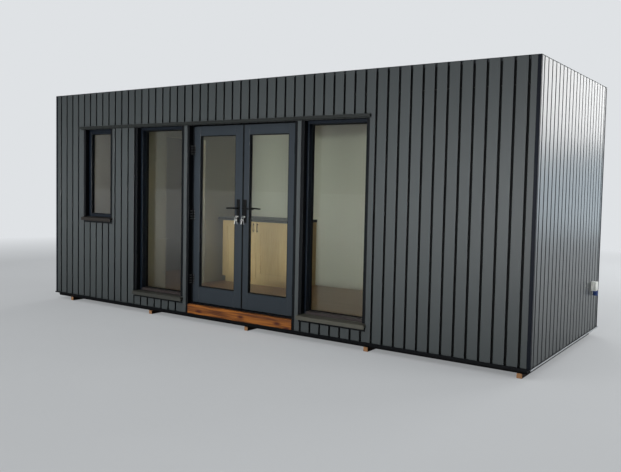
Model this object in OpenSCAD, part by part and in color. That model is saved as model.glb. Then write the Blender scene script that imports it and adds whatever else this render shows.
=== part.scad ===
// Garden office pod: a flat-roofed timber building with a glazed double door, on timber bearers.
// Millimetres. +X runs right along the front, +Y runs to the back, +Z is up.
// The origin is the middle of the footprint, at ground level.

/* [Pod] */
// Length of the front, over the boards
pod_length = 6440; // [6200:10:7500]
// Depth from the front boards to the back boards
pod_depth = 2450; // [2300:10:3000]
// Height from the underside of the boards to the top of the roof edge
wall_height = 2665; // [2600:5:2900]
// Whole thickness of a wall, from board face to room face
wall_thickness = 200; // [190:5:240]
// Thickness of the layer of boards
cladding_thickness = 22; // [16:1:26]

/* [Base] */
// Height of the bearers on the ground
bearer_height = 45; // [30:1:100]
// Width of a bearer
bearer_width = 48; // [30:1:120]
// Number of bearers
bearer_count = 5; // [2:1:8]
// Distance from the left end to the middle of the first bearer
bearer_left_gap = 305; // [80:5:400]
// Distance from the right end to the middle of the last bearer
bearer_right_gap = 95; // [80:5:400]
// Set-back of a bearer's end from the board face
bearer_setback = 25; // [10:1:60]
// Height of the base beams
base_height = 53; // [40:1:150]
// Set-back of the base beams from the board face
base_setback = 30; // [26:1:60]
// Height of the finished floor above the underside of the boards
floor_rise = 118; // [90:1:150]

/* [Roof] */
// Thickness of the roof panel
roof_thickness = 210; // [150:5:260]
// Thickness of the roof membrane
membrane_thickness = 4; // [2:0.5:8]
// Height of the roof edge trim above the membrane
edge_rise = 26; // [15:1:60]
// Width of the roof edge trim on top
edge_width = 60; // [40:1:120]
// Thickness of the trim's cap over the tops of the boards
edge_cap = 3; // [2:0.5:6]

/* [Openings] */
// Distance from the top of the roof edge down to every opening's head
head_drop = 470; // [420:5:600]
// Shift of the door and tall windows from the middle of the front
bank_shift = -7; // [-60:1:60]
// Width of the door opening
door_width = 1556; // [1400:2:1700]
// Width of the boarded post on each side of the door
post_width = 54; // [50:2:150]
// Width of the left tall window's opening
left_width = 818; // [600:2:900]
// Width of the right tall window's opening
right_width = 792; // [600:2:900]
// Height of a tall window's sill above the underside of the boards
tall_sill = 170; // [140:5:400]
// Distance from the left end to the small window's opening
small_gap = 583; // [450:1:700]
// Width of the small window's opening
small_width = 551; // [450:1:650]
// Height of the small window's sill above the underside of the boards
small_sill = 1050; // [800:10:1400]

/* [Windows] */
// Set-back of window frames and door leaves from the board face
frame_setback = 60; // [45:1:80]
// Width of the dark trim strip at the sides of an opening
trim_width = 33; // [20:1:50]
// Amount by which the trim strips stand proud of the boards
trim_proud = 3; // [1:0.5:8]
// Width of the left tall window's frame at the sides
left_frame_side = 65; // [50:1:90]
// Width of the right tall window's frame at the sides
right_frame_side = 52; // [45:1:90]
// Height of a frame's top member
frame_top = 34; // [25:1:80]
// Height of a tall window's bottom member
frame_bottom = 60; // [40:1:90]
// Depth of a tall window's frame
frame_depth = 115; // [90:1:120]
// Depth of the glass behind the board face in the tall windows
glass_setback = 148; // [120:1:150]
// Thickness of a sealed glass unit
glass_thickness = 24; // [14:1:28]
// Width of the small window's frame at the sides
small_frame_side = 50; // [40:1:80]
// Height of the small window's top member
small_frame_top = 24; // [18:1:60]
// Depth of the small window's frame
small_frame_depth = 70; // [62:1:90]
// Width of the small window's sash
sash_width = 35; // [30:1:60]
// Amount by which the sash stands proud of its frame
sash_proud = 10; // [4:1:20]
// Thickness of the small window's sash
sash_depth = 60; // [50:1:70]
// Overhang of a sill in front of the boards
sill_overhang = 45; // [20:1:60]
// Overhang of a sill in front of the boards at each side of its opening
sill_horn = 8; // [0:1:20]
// Height of a sill's front edge
sill_nose = 40; // [30:1:80]
// Thickness of a sill's front edge
sill_nose_thickness = 14; // [8:1:20]
// Rise of a sill's top from front to back
sill_fall = 12; // [4:1:20]
// Overhang of the head flashing in front of the boards
flashing_overhang = 30; // [15:1:60]
// Height of the head flashing's lip
flashing_lip = 33; // [20:1:60]

/* [Doors] */
// Thickness of a door leaf
leaf_thickness = 58; // [44:1:62]
// Width of a leaf's side members
leaf_stile = 94; // [80:1:130]
// Height of a leaf's top member
leaf_top_rail = 108; // [80:1:160]
// Height of a leaf's bottom member
leaf_bottom_rail = 185; // [120:1:260]
// Gap between the two leaves
meeting_gap = 10; // [5:0.5:14]
// Amount by which the left leaf is wider, and the right leaf narrower, than their mean
meeting_shift = 12; // [0:1:20]
// Amount planed off the inner edge where the leaves meet
meeting_bevel = 5; // [4.5:0.5:10]
// Width of the door frame's face beside a trim strip
jamb_face = 17; // [10:1:30]
// Gap between the door frame's face and its leaf
side_gap = 5; // [5:0.5:8]
// Gap over a leaf
head_gap = 12; // [6:1:20]
// Gap under a leaf
foot_gap = 6; // [5:0.5:12]
// Gap between a closed leaf and the frame behind it
stop_gap = 5; // [5:0.5:8]
// Overlap of a closed leaf on the frame behind it
stop_overlap = 30; // [15:1:45]
// Depth of the door frame
jamb_depth = 67; // [50:1:75]
// Height of the threshold's top above the floor
threshold_plate = 6; // [4:1:12]
// Depth of the step beam's top below the floor
step_drop = 10; // [5:1:30]

/* [Hinges] */
// Radius of a hinge knuckle
knuckle_radius = 8; // [6:0.5:8.5]
// Radius of a hinge pin
pin_radius = 4; // [3:0.5:5]
// Running clearance around a pin or spindle
running_clearance = 0.3; // [0.2:0.05:0.5]
// Height of a hinge
hinge_height = 120; // [90:1:150]
// Distance from a leaf's end to the middle of its end hinge
hinge_end = 270; // [150:5:400]
// Thickness of a hinge plate
hinge_plate = 3; // [2:0.5:4]
// Width of the hinge plate on the leaf
leaf_plate_width = 18; // [12:1:30]
// Width of the hinge plate on the trim strip
strip_plate_width = 40; // [20:1:50]

/* [Handles] */
// Height of the lever's spindle above the underside of the boards
lever_height = 1257; // [1100:1:1350]
// Distance from the lever's spindle to the leaf's mean inner edge
lever_backset = 43; // [38:1:60]
// Distance from the lever's spindle down to the lock cylinder
lock_distance = 92; // [72:1:100]
// Height of a backplate
plate_height = 260; // [220:1:300]
// Width of a backplate
plate_width = 44; // [34:1:50]
// Thickness of a backplate
plate_thickness = 8; // [6:0.5:12]
// Length of a lever from its spindle
lever_length = 146; // [110:1:160]
// Height of a lever's grip
lever_grip = 19; // [12:1:24]
// Thickness of a lever's grip
lever_thickness = 10; // [8:1:14]
// Distance from the backplate to the outer face of a lever
lever_reach = 42; // [32:1:48]
// Radius of a lever's neck
neck_radius = 9; // [6:0.5:10]
// Radius of the spindle
spindle_radius = 5; // [4:0.5:6]
// Radius of the lock cylinder
lock_radius = 8.5; // [7:0.5:9]

/* [Interior] */
// Distance from the left end to the partition's room face
partition_gap = 1520; // [1480:5:1550]
// Thickness of the partition
partition_thickness = 100; // [70:5:140]
// Distance from the front wall to the partition's doorway
doorway_gap = 390; // [200:10:500]
// Width of the partition's doorway
doorway_width = 760; // [600:10:800]
// Height of the partition's doorway
doorway_height = 2000; // [1900:10:2050]
// Gap between the partition and the kitchen unit's body
unit_gap = 75; // [20:1:120]
// Width of the kitchen unit
unit_width = 1200; // [800:10:1600]
// Depth of the kitchen unit's body
unit_depth = 580; // [450:5:620]
// Height of the kitchen unit above the floor
unit_height = 885; // [800:1:900]
// Height of the plinth
plinth_height = 90; // [60:1:150]
// Set-back of the plinth
plinth_setback = 50; // [20:1:80]
// Thickness of the unit's front doors
front_thickness = 20; // [16:1:25]
// Gap around a front door of the unit
front_gap = 3; // [2:0.5:5]
// Thickness of the worktop
worktop_thickness = 38; // [20:1:60]
// Overhang of the worktop
worktop_overhang = 20; // [5:1:40]

/* [Power inlet] */
// Distance from the front boards to the inlet box
inlet_gap = 2100; // [1800:10:2150]
// Width of the inlet box
inlet_width = 80; // [60:5:140]
// Height of the inlet box
inlet_height = 100; // [80:5:180]
// Depth of the inlet box
inlet_depth = 55; // [40:1:70]
// Height of the inlet box above the underside of the boards
inlet_rise = 440; // [300:5:700]
// Radius of the inlet's round socket
socket_radius = 29; // [20:1:34]
// Gap between the end boards and the round socket
socket_gap = 10; // [5:1:20]
// Length of the inlet's round socket
socket_length = 50; // [30:1:70]

/* [Hidden] */
$fn = 48;

// Planes of the building
left_x = -pod_length / 2;
right_x = pod_length / 2;
front_y = -pod_depth / 2;
back_y = pod_depth / 2;
base_z = bearer_height;
board_z = bearer_height + base_height;
floor_z = board_z + floor_rise;
top_z = board_z + wall_height;
membrane_z = top_z - edge_rise;
roof_z = membrane_z - membrane_thickness;
ceiling_z = roof_z - roof_thickness;
cap_z = top_z - edge_cap;
head_z = top_z - head_drop;

// Planes of the front wall, counted back from the board face
wall_y = front_y + cladding_thickness;
room_y = front_y + wall_thickness;
frame_y = front_y + frame_setback;

// Left and right edges of the openings
door_x0 = bank_shift - door_width / 2;
door_x1 = bank_shift + door_width / 2;
left_x1 = door_x0 - post_width;
left_x0 = left_x1 - left_width;
right_x0 = door_x1 + post_width;
right_x1 = right_x0 + right_width;
small_x0 = left_x + small_gap;
small_x1 = small_x0 + small_width;

// Tops of the walls under the windows
sill_rebate = 20;
tall_z = board_z + tall_sill - sill_rebate;
small_z = board_z + small_sill - sill_rebate;

// Door leaves
leaf_x0 = door_x0 + trim_width + jamb_face + side_gap;
leaf_x1 = door_x1 - trim_width - jamb_face - side_gap;
leaf_width = (leaf_x1 - leaf_x0 - meeting_gap) / 2;
left_leaf_width = leaf_width + meeting_shift;
right_leaf_width = leaf_width - meeting_shift;
leaf_z = floor_z + threshold_plate + foot_gap;
leaf_height = head_z - head_gap - leaf_z;
stop_y = frame_y + leaf_thickness + stop_gap;
pin_proud = knuckle_radius + 1;
hinge_heights = [
    leaf_z + hinge_end,
    leaf_z + leaf_height / 2,
    leaf_z + leaf_height - hinge_end
];
lever_z = board_z + lever_height;
lock_z = lever_z - lock_distance;
plate_over_lever = plate_height / 2 - 30;

// A box given by its two corners
module block(x, y, z) {
    translate([x[0], y[0], z[0]])
        cube([x[1] - x[0], y[1] - y[0], z[1] - z[0]]);
}

// A rectangular ring in a wall's plane, with its own side, top and bottom widths
module ring(x, y, z, side, top, bottom) {
    difference() {
        block(x, y, z);
        block([x[0] + side, x[1] - side], [y[0] - 1, y[1] + 1], [z[0] + bottom, z[1] - top]);
    }
}

// A frame of strips around the whole footprint, between two set-backs from the board face
module footprint_ring(outer, inner, z) {
    difference() {
        block([left_x + outer, right_x - outer], [front_y + outer, back_y - outer], z);
        block([left_x + inner, right_x - inner], [front_y + inner, back_y - inner], [z[0] - 1, z[1] + 1]);
    }
}

module bearers() {
    pitch = (pod_length - bearer_left_gap - bearer_right_gap) / (bearer_count - 1);
    color("burlywood")
        for (i = [0 : bearer_count - 1])
            translate([left_x + bearer_left_gap + i * pitch, 0, 0])
                block([-bearer_width / 2, bearer_width / 2],
                      [front_y + bearer_setback, back_y - bearer_setback],
                      [0, bearer_height]);
}

module base_long_beams() {
    color("#17191b") {
        block([left_x + base_setback, right_x - base_setback],
              [front_y + base_setback, front_y + wall_thickness], [base_z, board_z]);
        block([left_x + base_setback, right_x - base_setback],
              [back_y - wall_thickness, back_y - base_setback], [base_z, board_z]);
    }
}

module base_end_beams() {
    color("#17191b") {
        block([left_x + base_setback, left_x + wall_thickness],
              [front_y + wall_thickness, back_y - wall_thickness], [base_z, board_z]);
        block([right_x - wall_thickness, right_x - base_setback],
              [front_y + wall_thickness, back_y - wall_thickness], [base_z, board_z]);
    }
}

module floor_panel() {
    color("sienna")
        block([left_x + wall_thickness, right_x - wall_thickness],
              [front_y + wall_thickness, back_y - wall_thickness], [base_z, floor_z]);
}

module front_wall_panels() {
    color("#2b2e30") {
        block([left_x + cladding_thickness, small_x0], [wall_y, room_y], [board_z, ceiling_z]);
        block([small_x1, left_x0], [wall_y, room_y], [board_z, head_z]);
        block([right_x1, right_x - cladding_thickness], [wall_y, room_y], [board_z, ceiling_z]);
    }
}

module front_wall_posts() {
    color("#2b2e30") {
        block([left_x1, door_x0], [wall_y, room_y], [board_z, head_z]);
        block([door_x1, right_x0], [wall_y, room_y], [board_z, head_z]);
    }
}

module front_wall_under_windows() {
    color("#2b2e30") {
        block([small_x0, small_x1], [wall_y, room_y], [board_z, small_z]);
        block([left_x0, left_x1], [wall_y, room_y], [board_z, tall_z]);
        block([right_x0, right_x1], [wall_y, room_y], [board_z, tall_z]);
    }
}

module front_wall_lintel() {
    color("#2b2e30")
        block([small_x0, right_x1], [wall_y, room_y], [head_z, ceiling_z]);
}

module back_wall() {
    color("#2b2e30")
        block([left_x + cladding_thickness, right_x - cladding_thickness],
              [back_y - wall_thickness, back_y - cladding_thickness], [board_z, ceiling_z]);
}

// One end wall, between the front and back walls, with its outer structure face at x
module end_wall(x) {
    block(x, [front_y + wall_thickness, back_y - wall_thickness], [board_z, ceiling_z]);
}

module left_wall() {
    color("#2b2e30")
        end_wall([left_x + cladding_thickness, left_x + wall_thickness]);
}

module right_wall() {
    color("#2b2e30")
        end_wall([right_x - wall_thickness, right_x - cladding_thickness]);
}

module partition_wall() {
    x0 = left_x + partition_gap - partition_thickness;
    color("ivory")
        difference() {
            block([x0, x0 + partition_thickness], [room_y, back_y - wall_thickness], [floor_z, ceiling_z]);
            block([x0 - 1, x0 + partition_thickness + 1],
                  [room_y + doorway_gap, room_y + doorway_gap + doorway_width],
                  [floor_z - 1, floor_z + doorway_height]);
        }
}

module front_cladding() {
    color("#4d5458")
        difference() {
            block([left_x, right_x], [front_y, wall_y], [board_z, cap_z]);
            block([small_x0, small_x1], [front_y - 1, wall_y + 1], [small_z, head_z]);
            block([left_x0, left_x1], [front_y - 1, wall_y + 1], [tall_z, head_z]);
            block([door_x0, door_x1], [front_y - 1, wall_y + 1], [board_z - 1, head_z]);
            block([right_x0, right_x1], [front_y - 1, wall_y + 1], [tall_z, head_z]);
        }
}

module back_cladding() {
    color("#4d5458")
        block([left_x, right_x], [back_y - cladding_thickness, back_y], [board_z, cap_z]);
}

module left_cladding() {
    color("#4d5458")
        block([left_x, left_x + cladding_thickness],
              [wall_y, back_y - cladding_thickness], [board_z, cap_z]);
}

module right_cladding() {
    color("#4d5458")
        block([right_x - cladding_thickness, right_x],
              [wall_y, back_y - cladding_thickness], [board_z, cap_z]);
}

// Corner angle for the front right corner, drawn from the building's corner inwards
module corner_angle(leg, thickness) {
    linear_extrude(cap_z - board_z)
        polygon([
            [thickness, -thickness], [thickness, leg], [0, leg],
            [0, 0], [-leg, 0], [-leg, -thickness]
        ]);
}

module corner_trims() {
    corner_leg = 30;
    color("#23282e")
        for (side = [0, 1], end = [0, 1])
            mirror([side, 0, 0]) mirror([0, end, 0])
                translate([right_x, front_y, board_z])
                    corner_angle(corner_leg, trim_proud);
}

module base_flashing() {
    sheet = 3;
    drip = 12;
    drop = 14;
    leg = 38;
    color("#23282e") {
        footprint_ring(-drip, base_setback, [board_z - sheet, board_z]);
        footprint_ring(-drip, sheet - drip, [board_z - drop, board_z]);
        footprint_ring(base_setback - sheet, base_setback, [board_z - leg, board_z]);
    }
}

module head_flashing() {
    leg = 12;
    slope = 6;
    left_overlap = 63;
    right_overlap = 13;
    color("#34393d")
        translate([small_x0 - left_overlap, front_y, head_z])
            rotate([90, 0, 90])
                linear_extrude(right_x1 + right_overlap - small_x0 + left_overlap)
                    polygon([
                        [0, 0], [-trim_proud, 0], [-trim_proud, leg],
                        [-flashing_overhang, leg], [-flashing_overhang, leg + flashing_lip - slope],
                        [0, leg + flashing_lip]
                    ]);
}

// The two upright trim strips of one opening
module side_strips(x0, x1, z) {
    block([x0, x0 + trim_width], [front_y - trim_proud, frame_y], z);
    block([x1 - trim_width, x1], [front_y - trim_proud, frame_y], z);
}

module opening_trims() {
    over_sill = sill_rebate + sill_fall + 2;
    color("#14171b") {
        side_strips(small_x0, small_x1, [small_z + over_sill, head_z]);
        side_strips(left_x0, left_x1, [tall_z + over_sill, head_z]);
        side_strips(door_x0, door_x1, [board_z, head_z]);
        side_strips(right_x0, right_x1, [tall_z + over_sill, head_z]);
    }
}

module roof_panel() {
    color("#2b2e30")
        block([left_x + cladding_thickness, right_x - cladding_thickness],
              [front_y + cladding_thickness, back_y - cladding_thickness], [ceiling_z, roof_z]);
}

module roof_membrane() {
    color("#2a2c2e")
        block([left_x + cladding_thickness, right_x - cladding_thickness],
              [front_y + cladding_thickness, back_y - cladding_thickness], [roof_z, membrane_z]);
}

module roof_edge_trim() {
    color("#23282e") {
        footprint_ring(-trim_proud, edge_width, [cap_z, top_z]);
        footprint_ring(cladding_thickness, edge_width, [membrane_z, cap_z]);
    }
}

module small_window_frame() {
    color("#1f2831")
        ring([small_x0, small_x1], [frame_y, frame_y + small_frame_depth], [small_z, head_z],
             small_frame_side, small_frame_top, small_frame_top + sill_rebate / 2);
}

// Edges of the small window's sash, which fills its frame
sash_x = [small_x0 + small_frame_side, small_x1 - small_frame_side];
sash_z = [small_z + small_frame_top + sill_rebate / 2, head_z - small_frame_top];
sash_y = [frame_y - sash_proud, frame_y - sash_proud + sash_depth];

module small_window_sash() {
    color("#2b343d")
        ring(sash_x, sash_y, sash_z, sash_width, sash_width, sash_width);
}

// The fixed frame of a tall window between x0 and x1
module tall_frame(x0, x1, side) {
    color("#1f2831")
        ring([x0, x1], [frame_y, frame_y + frame_depth], [tall_z, head_z],
             side, frame_top, frame_bottom);
}

module left_window_frame() {
    tall_frame(left_x0, left_x1, left_frame_side);
}

module right_window_frame() {
    tall_frame(right_x0, right_x1, right_frame_side);
}

// The sealed glass unit of a tall window between x0 and x1
module tall_glass(x0, x1, side) {
    block([x0 + side, x1 - side],
          [front_y + glass_setback, front_y + glass_setback + glass_thickness],
          [tall_z + frame_bottom, head_z - frame_top]);
}

module window_glass() {
    glass_inset = 23;
    color("lightblue", 0.4) {
        tall_glass(left_x0, left_x1, left_frame_side);
        tall_glass(right_x0, right_x1, right_frame_side);
        block([sash_x[0] + sash_width, sash_x[1] - sash_width],
              [sash_y[0] + glass_inset, sash_y[0] + glass_inset + glass_thickness],
              [sash_z[0] + sash_width, sash_z[1] - sash_width]);
    }
}

// A sill for the opening from x0 to x1, whose underside lies at z
module sill(x0, x1, z) {
    slope = sill_fall / (frame_setback + sill_overhang);
    top_at_boards = sill_rebate + slope * sill_overhang;
    translate([0, front_y, z])
        rotate([90, 0, 90]) {
            translate([0, 0, x0])
                linear_extrude(x1 - x0)
                    polygon([
                        [-1, 0], [-1, top_at_boards - slope],
                        [frame_setback, sill_rebate + sill_fall], [frame_setback, 0]
                    ]);
            translate([0, 0, x0 - sill_horn])
                linear_extrude(x1 - x0 + 2 * sill_horn)
                    polygon([
                        [-sill_overhang, sill_rebate - sill_nose], [-sill_overhang, sill_rebate],
                        [0, top_at_boards], [0, 0],
                        [sill_nose_thickness - sill_overhang, 0],
                        [sill_nose_thickness - sill_overhang, sill_rebate - sill_nose]
                    ]);
        }
}

module window_sills() {
    color("#34393d") {
        sill(small_x0, small_x1, small_z);
        sill(left_x0, left_x1, tall_z);
        sill(right_x0, right_x1, tall_z);
    }
}

// One upright of the door frame, drawn from the opening's edge at x = 0: a face beside the leaf and a stop behind it
module jamb() {
    face = trim_width + jamb_face;
    stop = face + side_gap + stop_overlap;
    step = leaf_thickness + stop_gap;
    translate([0, frame_y, floor_z + threshold_plate])
        linear_extrude(head_z - floor_z - threshold_plate)
            polygon([
                [0, 0], [face, 0], [face, step], [stop, step],
                [stop, step + jamb_depth], [0, step + jamb_depth]
            ]);
}

module door_jambs() {
    color("#14171b") {
        translate([door_x0, 0, 0]) jamb();
        translate([door_x1, 0, 0]) mirror([1, 0, 0]) jamb();
    }
}

module door_head() {
    color("#14171b")
        block([leaf_x0 + stop_overlap, leaf_x1 - stop_overlap], [stop_y, stop_y + jamb_depth],
              [head_z - head_gap - stop_overlap, head_z]);
}

module door_threshold() {
    plate_lap = 25;
    color("#14171b") {
        block([door_x0 + trim_width, door_x1 - trim_width],
              [frame_y - plate_lap, frame_y + 1], [floor_z - step_drop, floor_z + threshold_plate]);
        block([door_x0, door_x1],
              [frame_y, room_y], [board_z, floor_z + threshold_plate]);
    }
}

module doorstep_beam() {
    step_proud = 8;
    color("peru")
        block([door_x0 + trim_width, door_x1 - trim_width],
              [front_y - step_proud, frame_y], [board_z, floor_z - step_drop]);
}

// Hinges are drawn for the left leaf, from the pin's axis, with the faces of frame and leaf at y = pin_proud
module knuckle(z0, z1) {
    translate([0, 0, z0])
        cylinder(r = knuckle_radius, h = z1 - z0);
}

// Reach of a hinge plate past the pin, where it runs beside the other half's knuckles
plate_free = knuckle_radius - 1;
plate_y = [pin_proud - hinge_plate, pin_proud];

// The fixed half: two end knuckles joined by the pin, and plates on the frame's face and the trim strip
module fixed_hinge() {
    third = hinge_height / 3;
    strip_x = -side_gap / 2 - jamb_face;
    whole = [-hinge_height / 2, hinge_height / 2];
    for (z = [[whole[0], -third / 2 - running_clearance], [third / 2 + running_clearance, whole[1]]]) {
        knuckle(z[0], z[1]);
        block([strip_x, 0], plate_y, z);
    }
    block([strip_x, -plate_free], plate_y, whole);
    block([strip_x, strip_x + hinge_plate], [pin_proud - strip_plate_width, pin_proud], whole);
    translate([0, 0, whole[0]])
        cylinder(r = pin_radius, h = hinge_height);
}

// The moving half: the middle knuckle with its bore, and the plate on the leaf's face
module moving_hinge() {
    third = hinge_height / 3;
    difference() {
        union() {
            knuckle(-third / 2, third / 2);
            block([0, plate_free + 1], plate_y, [-third / 2, third / 2]);
        }
        translate([0, 0, -third])
            cylinder(r = pin_radius + running_clearance, h = 2 * third);
    }
    block([plate_free, plate_free + leaf_plate_width], plate_y, [-hinge_height / 2, hinge_height / 2]);
}

// Puts its children at each hinge of the left leaf
module at_left_hinges() {
    for (z = hinge_heights)
        translate([leaf_x0 - side_gap / 2, frame_y - pin_proud, z])
            children();
}

// Puts its children at each hinge of the right leaf, mirrored
module at_right_hinges() {
    for (z = hinge_heights)
        translate([leaf_x1 + side_gap / 2, frame_y - pin_proud, z])
            mirror([1, 0, 0])
                children();
}

module frame_hinges() {
    color("#101214") {
        at_left_hinges() fixed_hinge();
        at_right_hinges() fixed_hinge();
    }
}

module left_leaf_hinges() {
    color("#101214")
        at_left_hinges() moving_hinge();
}

module right_leaf_hinges() {
    color("#101214")
        at_right_hinges() moving_hinge();
}

// Door parts are drawn for the left leaf, from its hinge edge at x = 0 and its outer face at y = 0
module at_left_leaf() {
    translate([leaf_x0, frame_y, 0])
        children();
}

module at_right_leaf() {
    translate([leaf_x1, frame_y, 0])
        mirror([1, 0, 0])
            children();
}

lever_x = leaf_width - lever_backset;

// A hole through the leaf along Y
module cross_hole(radius, z) {
    translate([lever_x, leaf_thickness + plate_thickness + 1, z])
        rotate([90, 0, 0])
            cylinder(r = radius, h = leaf_thickness + 2 * plate_thickness + 2);
}

// One leaf of its own width, with its glass opening as far from the hinges as the other leaf's
module leaf(width) {
    difference() {
        translate([0, 0, leaf_z])
            linear_extrude(leaf_height)
                polygon([
                    [0, 0], [width, 0],
                    [width - meeting_bevel, leaf_thickness], [0, leaf_thickness]
                ]);
        block([leaf_stile, leaf_width - leaf_stile], [-1, leaf_thickness + 1],
              [leaf_z + leaf_bottom_rail, leaf_z + leaf_height - leaf_top_rail]);
        cross_hole(spindle_radius + 1, lever_z);
        cross_hole(lock_radius + running_clearance, lock_z);
    }
}

module leaf_glass() {
    glass_inset = 16;
    block([leaf_stile, leaf_width - leaf_stile],
          [glass_inset, glass_inset + glass_thickness],
          [leaf_z + leaf_bottom_rail, leaf_z + leaf_height - leaf_top_rail]);
}

// Both backplates of a leaf, outside and inside
module handle_plates() {
    difference() {
        for (y = [[-plate_thickness, 0], [leaf_thickness, leaf_thickness + plate_thickness]])
            block([lever_x - plate_width / 2, lever_x + plate_width / 2], y,
                  [lever_z + plate_over_lever - plate_height, lever_z + plate_over_lever]);
        cross_hole(neck_radius + running_clearance, lever_z);
        cross_hole(lock_radius + running_clearance, lock_z);
    }
}

// One lever grip with its neck, from the leaf's face outwards along -Y
module grip() {
    translate([0, -plate_thickness - lever_reach, 0])
        rotate([-90, 0, 0]) {
            linear_extrude(lever_thickness) {
                translate([-lever_length + lever_grip / 2, -lever_grip / 2])
                    square([lever_length - lever_grip / 2, lever_grip]);
                translate([-lever_length + lever_grip / 2, 0])
                    circle(d = lever_grip);
                circle(r = neck_radius + 1.5);
            }
            cylinder(r = neck_radius, h = lever_reach + plate_thickness - 1);
        }
}

module lever_pair() {
    translate([lever_x, 0, lever_z]) {
        grip();
        translate([0, leaf_thickness, 0])
            mirror([0, 1, 0])
                grip();
        translate([0, -2, 0])
            rotate([-90, 0, 0])
                cylinder(r = spindle_radius, h = leaf_thickness + 4);
    }
}

// The lock cylinder through the leaf, with a key in its outer end
module key() {
    proud = 3;
    key_thickness = 2.4;
    bow_radius = 13;
    blade = 16;
    translate([lever_x, -plate_thickness - proud, lock_z]) {
        rotate([-90, 0, 0])
            cylinder(r = lock_radius, h = leaf_thickness + 2 * (plate_thickness + proud));
        block([-key_thickness / 2, key_thickness / 2], [-blade, 0], [-4, 4]);
        translate([-key_thickness / 2, -blade - bow_radius + 2, 0])
            rotate([0, 90, 0])
                difference() {
                    cylinder(r = bow_radius, h = key_thickness);
                    translate([0, -bow_radius / 2, -1])
                        cylinder(r = 3, h = key_thickness + 2);
                }
    }
}

module left_leaf() {
    color("#323d48") at_left_leaf() leaf(left_leaf_width);
}

module left_leaf_glass() {
    color("lightblue", 0.4) at_left_leaf() leaf_glass();
}

module left_handle_plates() {
    color("#101214") at_left_leaf() handle_plates();
}

module left_lever() {
    color("#101214") at_left_leaf() lever_pair();
}

module left_key() {
    color("silver") at_left_leaf() key();
}

module right_leaf() {
    color("#323d48") at_right_leaf() leaf(right_leaf_width);
}

module right_leaf_glass() {
    color("lightblue", 0.4) at_right_leaf() leaf_glass();
}

module right_handle_plates() {
    color("#101214") at_right_leaf() handle_plates();
}

module right_lever() {
    color("#101214") at_right_leaf() lever_pair();
}

module right_key() {
    color("silver") at_right_leaf() key();
}

// Planes of the kitchen unit, which stands in the back corner near the partition
unit_x0 = left_x + partition_gap + unit_gap;
unit_x1 = unit_x0 + unit_width;
unit_y1 = back_y - wall_thickness;
unit_y0 = unit_y1 - unit_depth;
unit_z1 = floor_z + unit_height;

module kitchen_cabinet() {
    color("wheat") {
        block([unit_x0, unit_x1], [unit_y0, unit_y1], [floor_z + plinth_height, unit_z1]);
        block([unit_x0, unit_x1], [unit_y0 + plinth_setback, unit_y1], [floor_z, floor_z + plinth_height]);
    }
}

module kitchen_fronts() {
    half = unit_width / 2;
    color("wheat")
        for (i = [0, 1])
            block([unit_x0 + i * half + front_gap / 2, unit_x0 + (i + 1) * half - front_gap / 2],
                  [unit_y0 - front_thickness, unit_y0],
                  [floor_z + plinth_height + front_gap, unit_z1 - front_gap]);
}

module kitchen_worktop() {
    color("#4a4238")
        block([unit_x0 - unit_gap, unit_x1 + worktop_overhang / 2],
              [unit_y0 - front_thickness - worktop_overhang, unit_y1],
              [unit_z1, unit_z1 + worktop_thickness]);
}

module inlet_box() {
    color("white")
        block([right_x, right_x + inlet_depth],
              [front_y + inlet_gap, front_y + inlet_gap + inlet_width],
              [board_z + inlet_rise, board_z + inlet_rise + inlet_height]);
}

module inlet_socket() {
    color("#1e3c78")
        translate([right_x + socket_gap + socket_radius, front_y + inlet_gap + inlet_width / 2,
                   board_z + inlet_rise - socket_length])
            difference() {
                cylinder(r = socket_radius, h = socket_length);
                translate([0, 0, -1])
                    cylinder(r = socket_radius - 4, h = socket_length - 9);
            }
}

bearers();
base_long_beams();
base_end_beams();
floor_panel();
front_wall_panels();
front_wall_posts();
front_wall_under_windows();
front_wall_lintel();
back_wall();
left_wall();
right_wall();
partition_wall();
front_cladding();
back_cladding();
left_cladding();
right_cladding();
corner_trims();
base_flashing();
head_flashing();
opening_trims();
roof_panel();
roof_membrane();
roof_edge_trim();
small_window_frame();
small_window_sash();
left_window_frame();
right_window_frame();
window_glass();
window_sills();
door_jambs();
door_head();
door_threshold();
doorstep_beam();
frame_hinges();
left_leaf();
left_leaf_glass();
left_leaf_hinges();
left_handle_plates();
left_lever();
left_key();
right_leaf();
right_leaf_glass();
right_leaf_hinges();
right_handle_plates();
right_lever();
right_key();
kitchen_cabinet();
kitchen_fronts();
kitchen_worktop();
inlet_box();
inlet_socket();
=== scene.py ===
"""Garden office pod: boards, joinery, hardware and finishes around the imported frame."""

import logging
import math
from contextlib import contextmanager
from dataclasses import dataclass
from enum import Enum
from typing import Any, Callable, Iterable, Iterator, Optional, Sequence

import bpy
from bpy.types import Material, Node, NodeSocket, NodeTree, Object
from mathutils import Matrix, Vector


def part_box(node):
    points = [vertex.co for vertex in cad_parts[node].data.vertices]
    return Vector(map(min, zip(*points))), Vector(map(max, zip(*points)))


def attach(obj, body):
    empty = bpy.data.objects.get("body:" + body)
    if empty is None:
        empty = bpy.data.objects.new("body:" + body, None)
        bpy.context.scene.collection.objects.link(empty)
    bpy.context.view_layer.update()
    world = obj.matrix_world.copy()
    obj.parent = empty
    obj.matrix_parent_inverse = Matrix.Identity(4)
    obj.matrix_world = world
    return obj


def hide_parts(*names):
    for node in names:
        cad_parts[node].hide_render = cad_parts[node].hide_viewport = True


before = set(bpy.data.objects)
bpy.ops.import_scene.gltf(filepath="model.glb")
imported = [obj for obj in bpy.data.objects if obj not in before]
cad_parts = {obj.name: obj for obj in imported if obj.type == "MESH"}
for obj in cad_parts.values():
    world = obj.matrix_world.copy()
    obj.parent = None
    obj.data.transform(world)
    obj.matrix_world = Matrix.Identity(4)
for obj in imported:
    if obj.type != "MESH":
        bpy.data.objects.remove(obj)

LOG = logging.getLogger("garden_pod")
MM = 0.001
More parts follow.
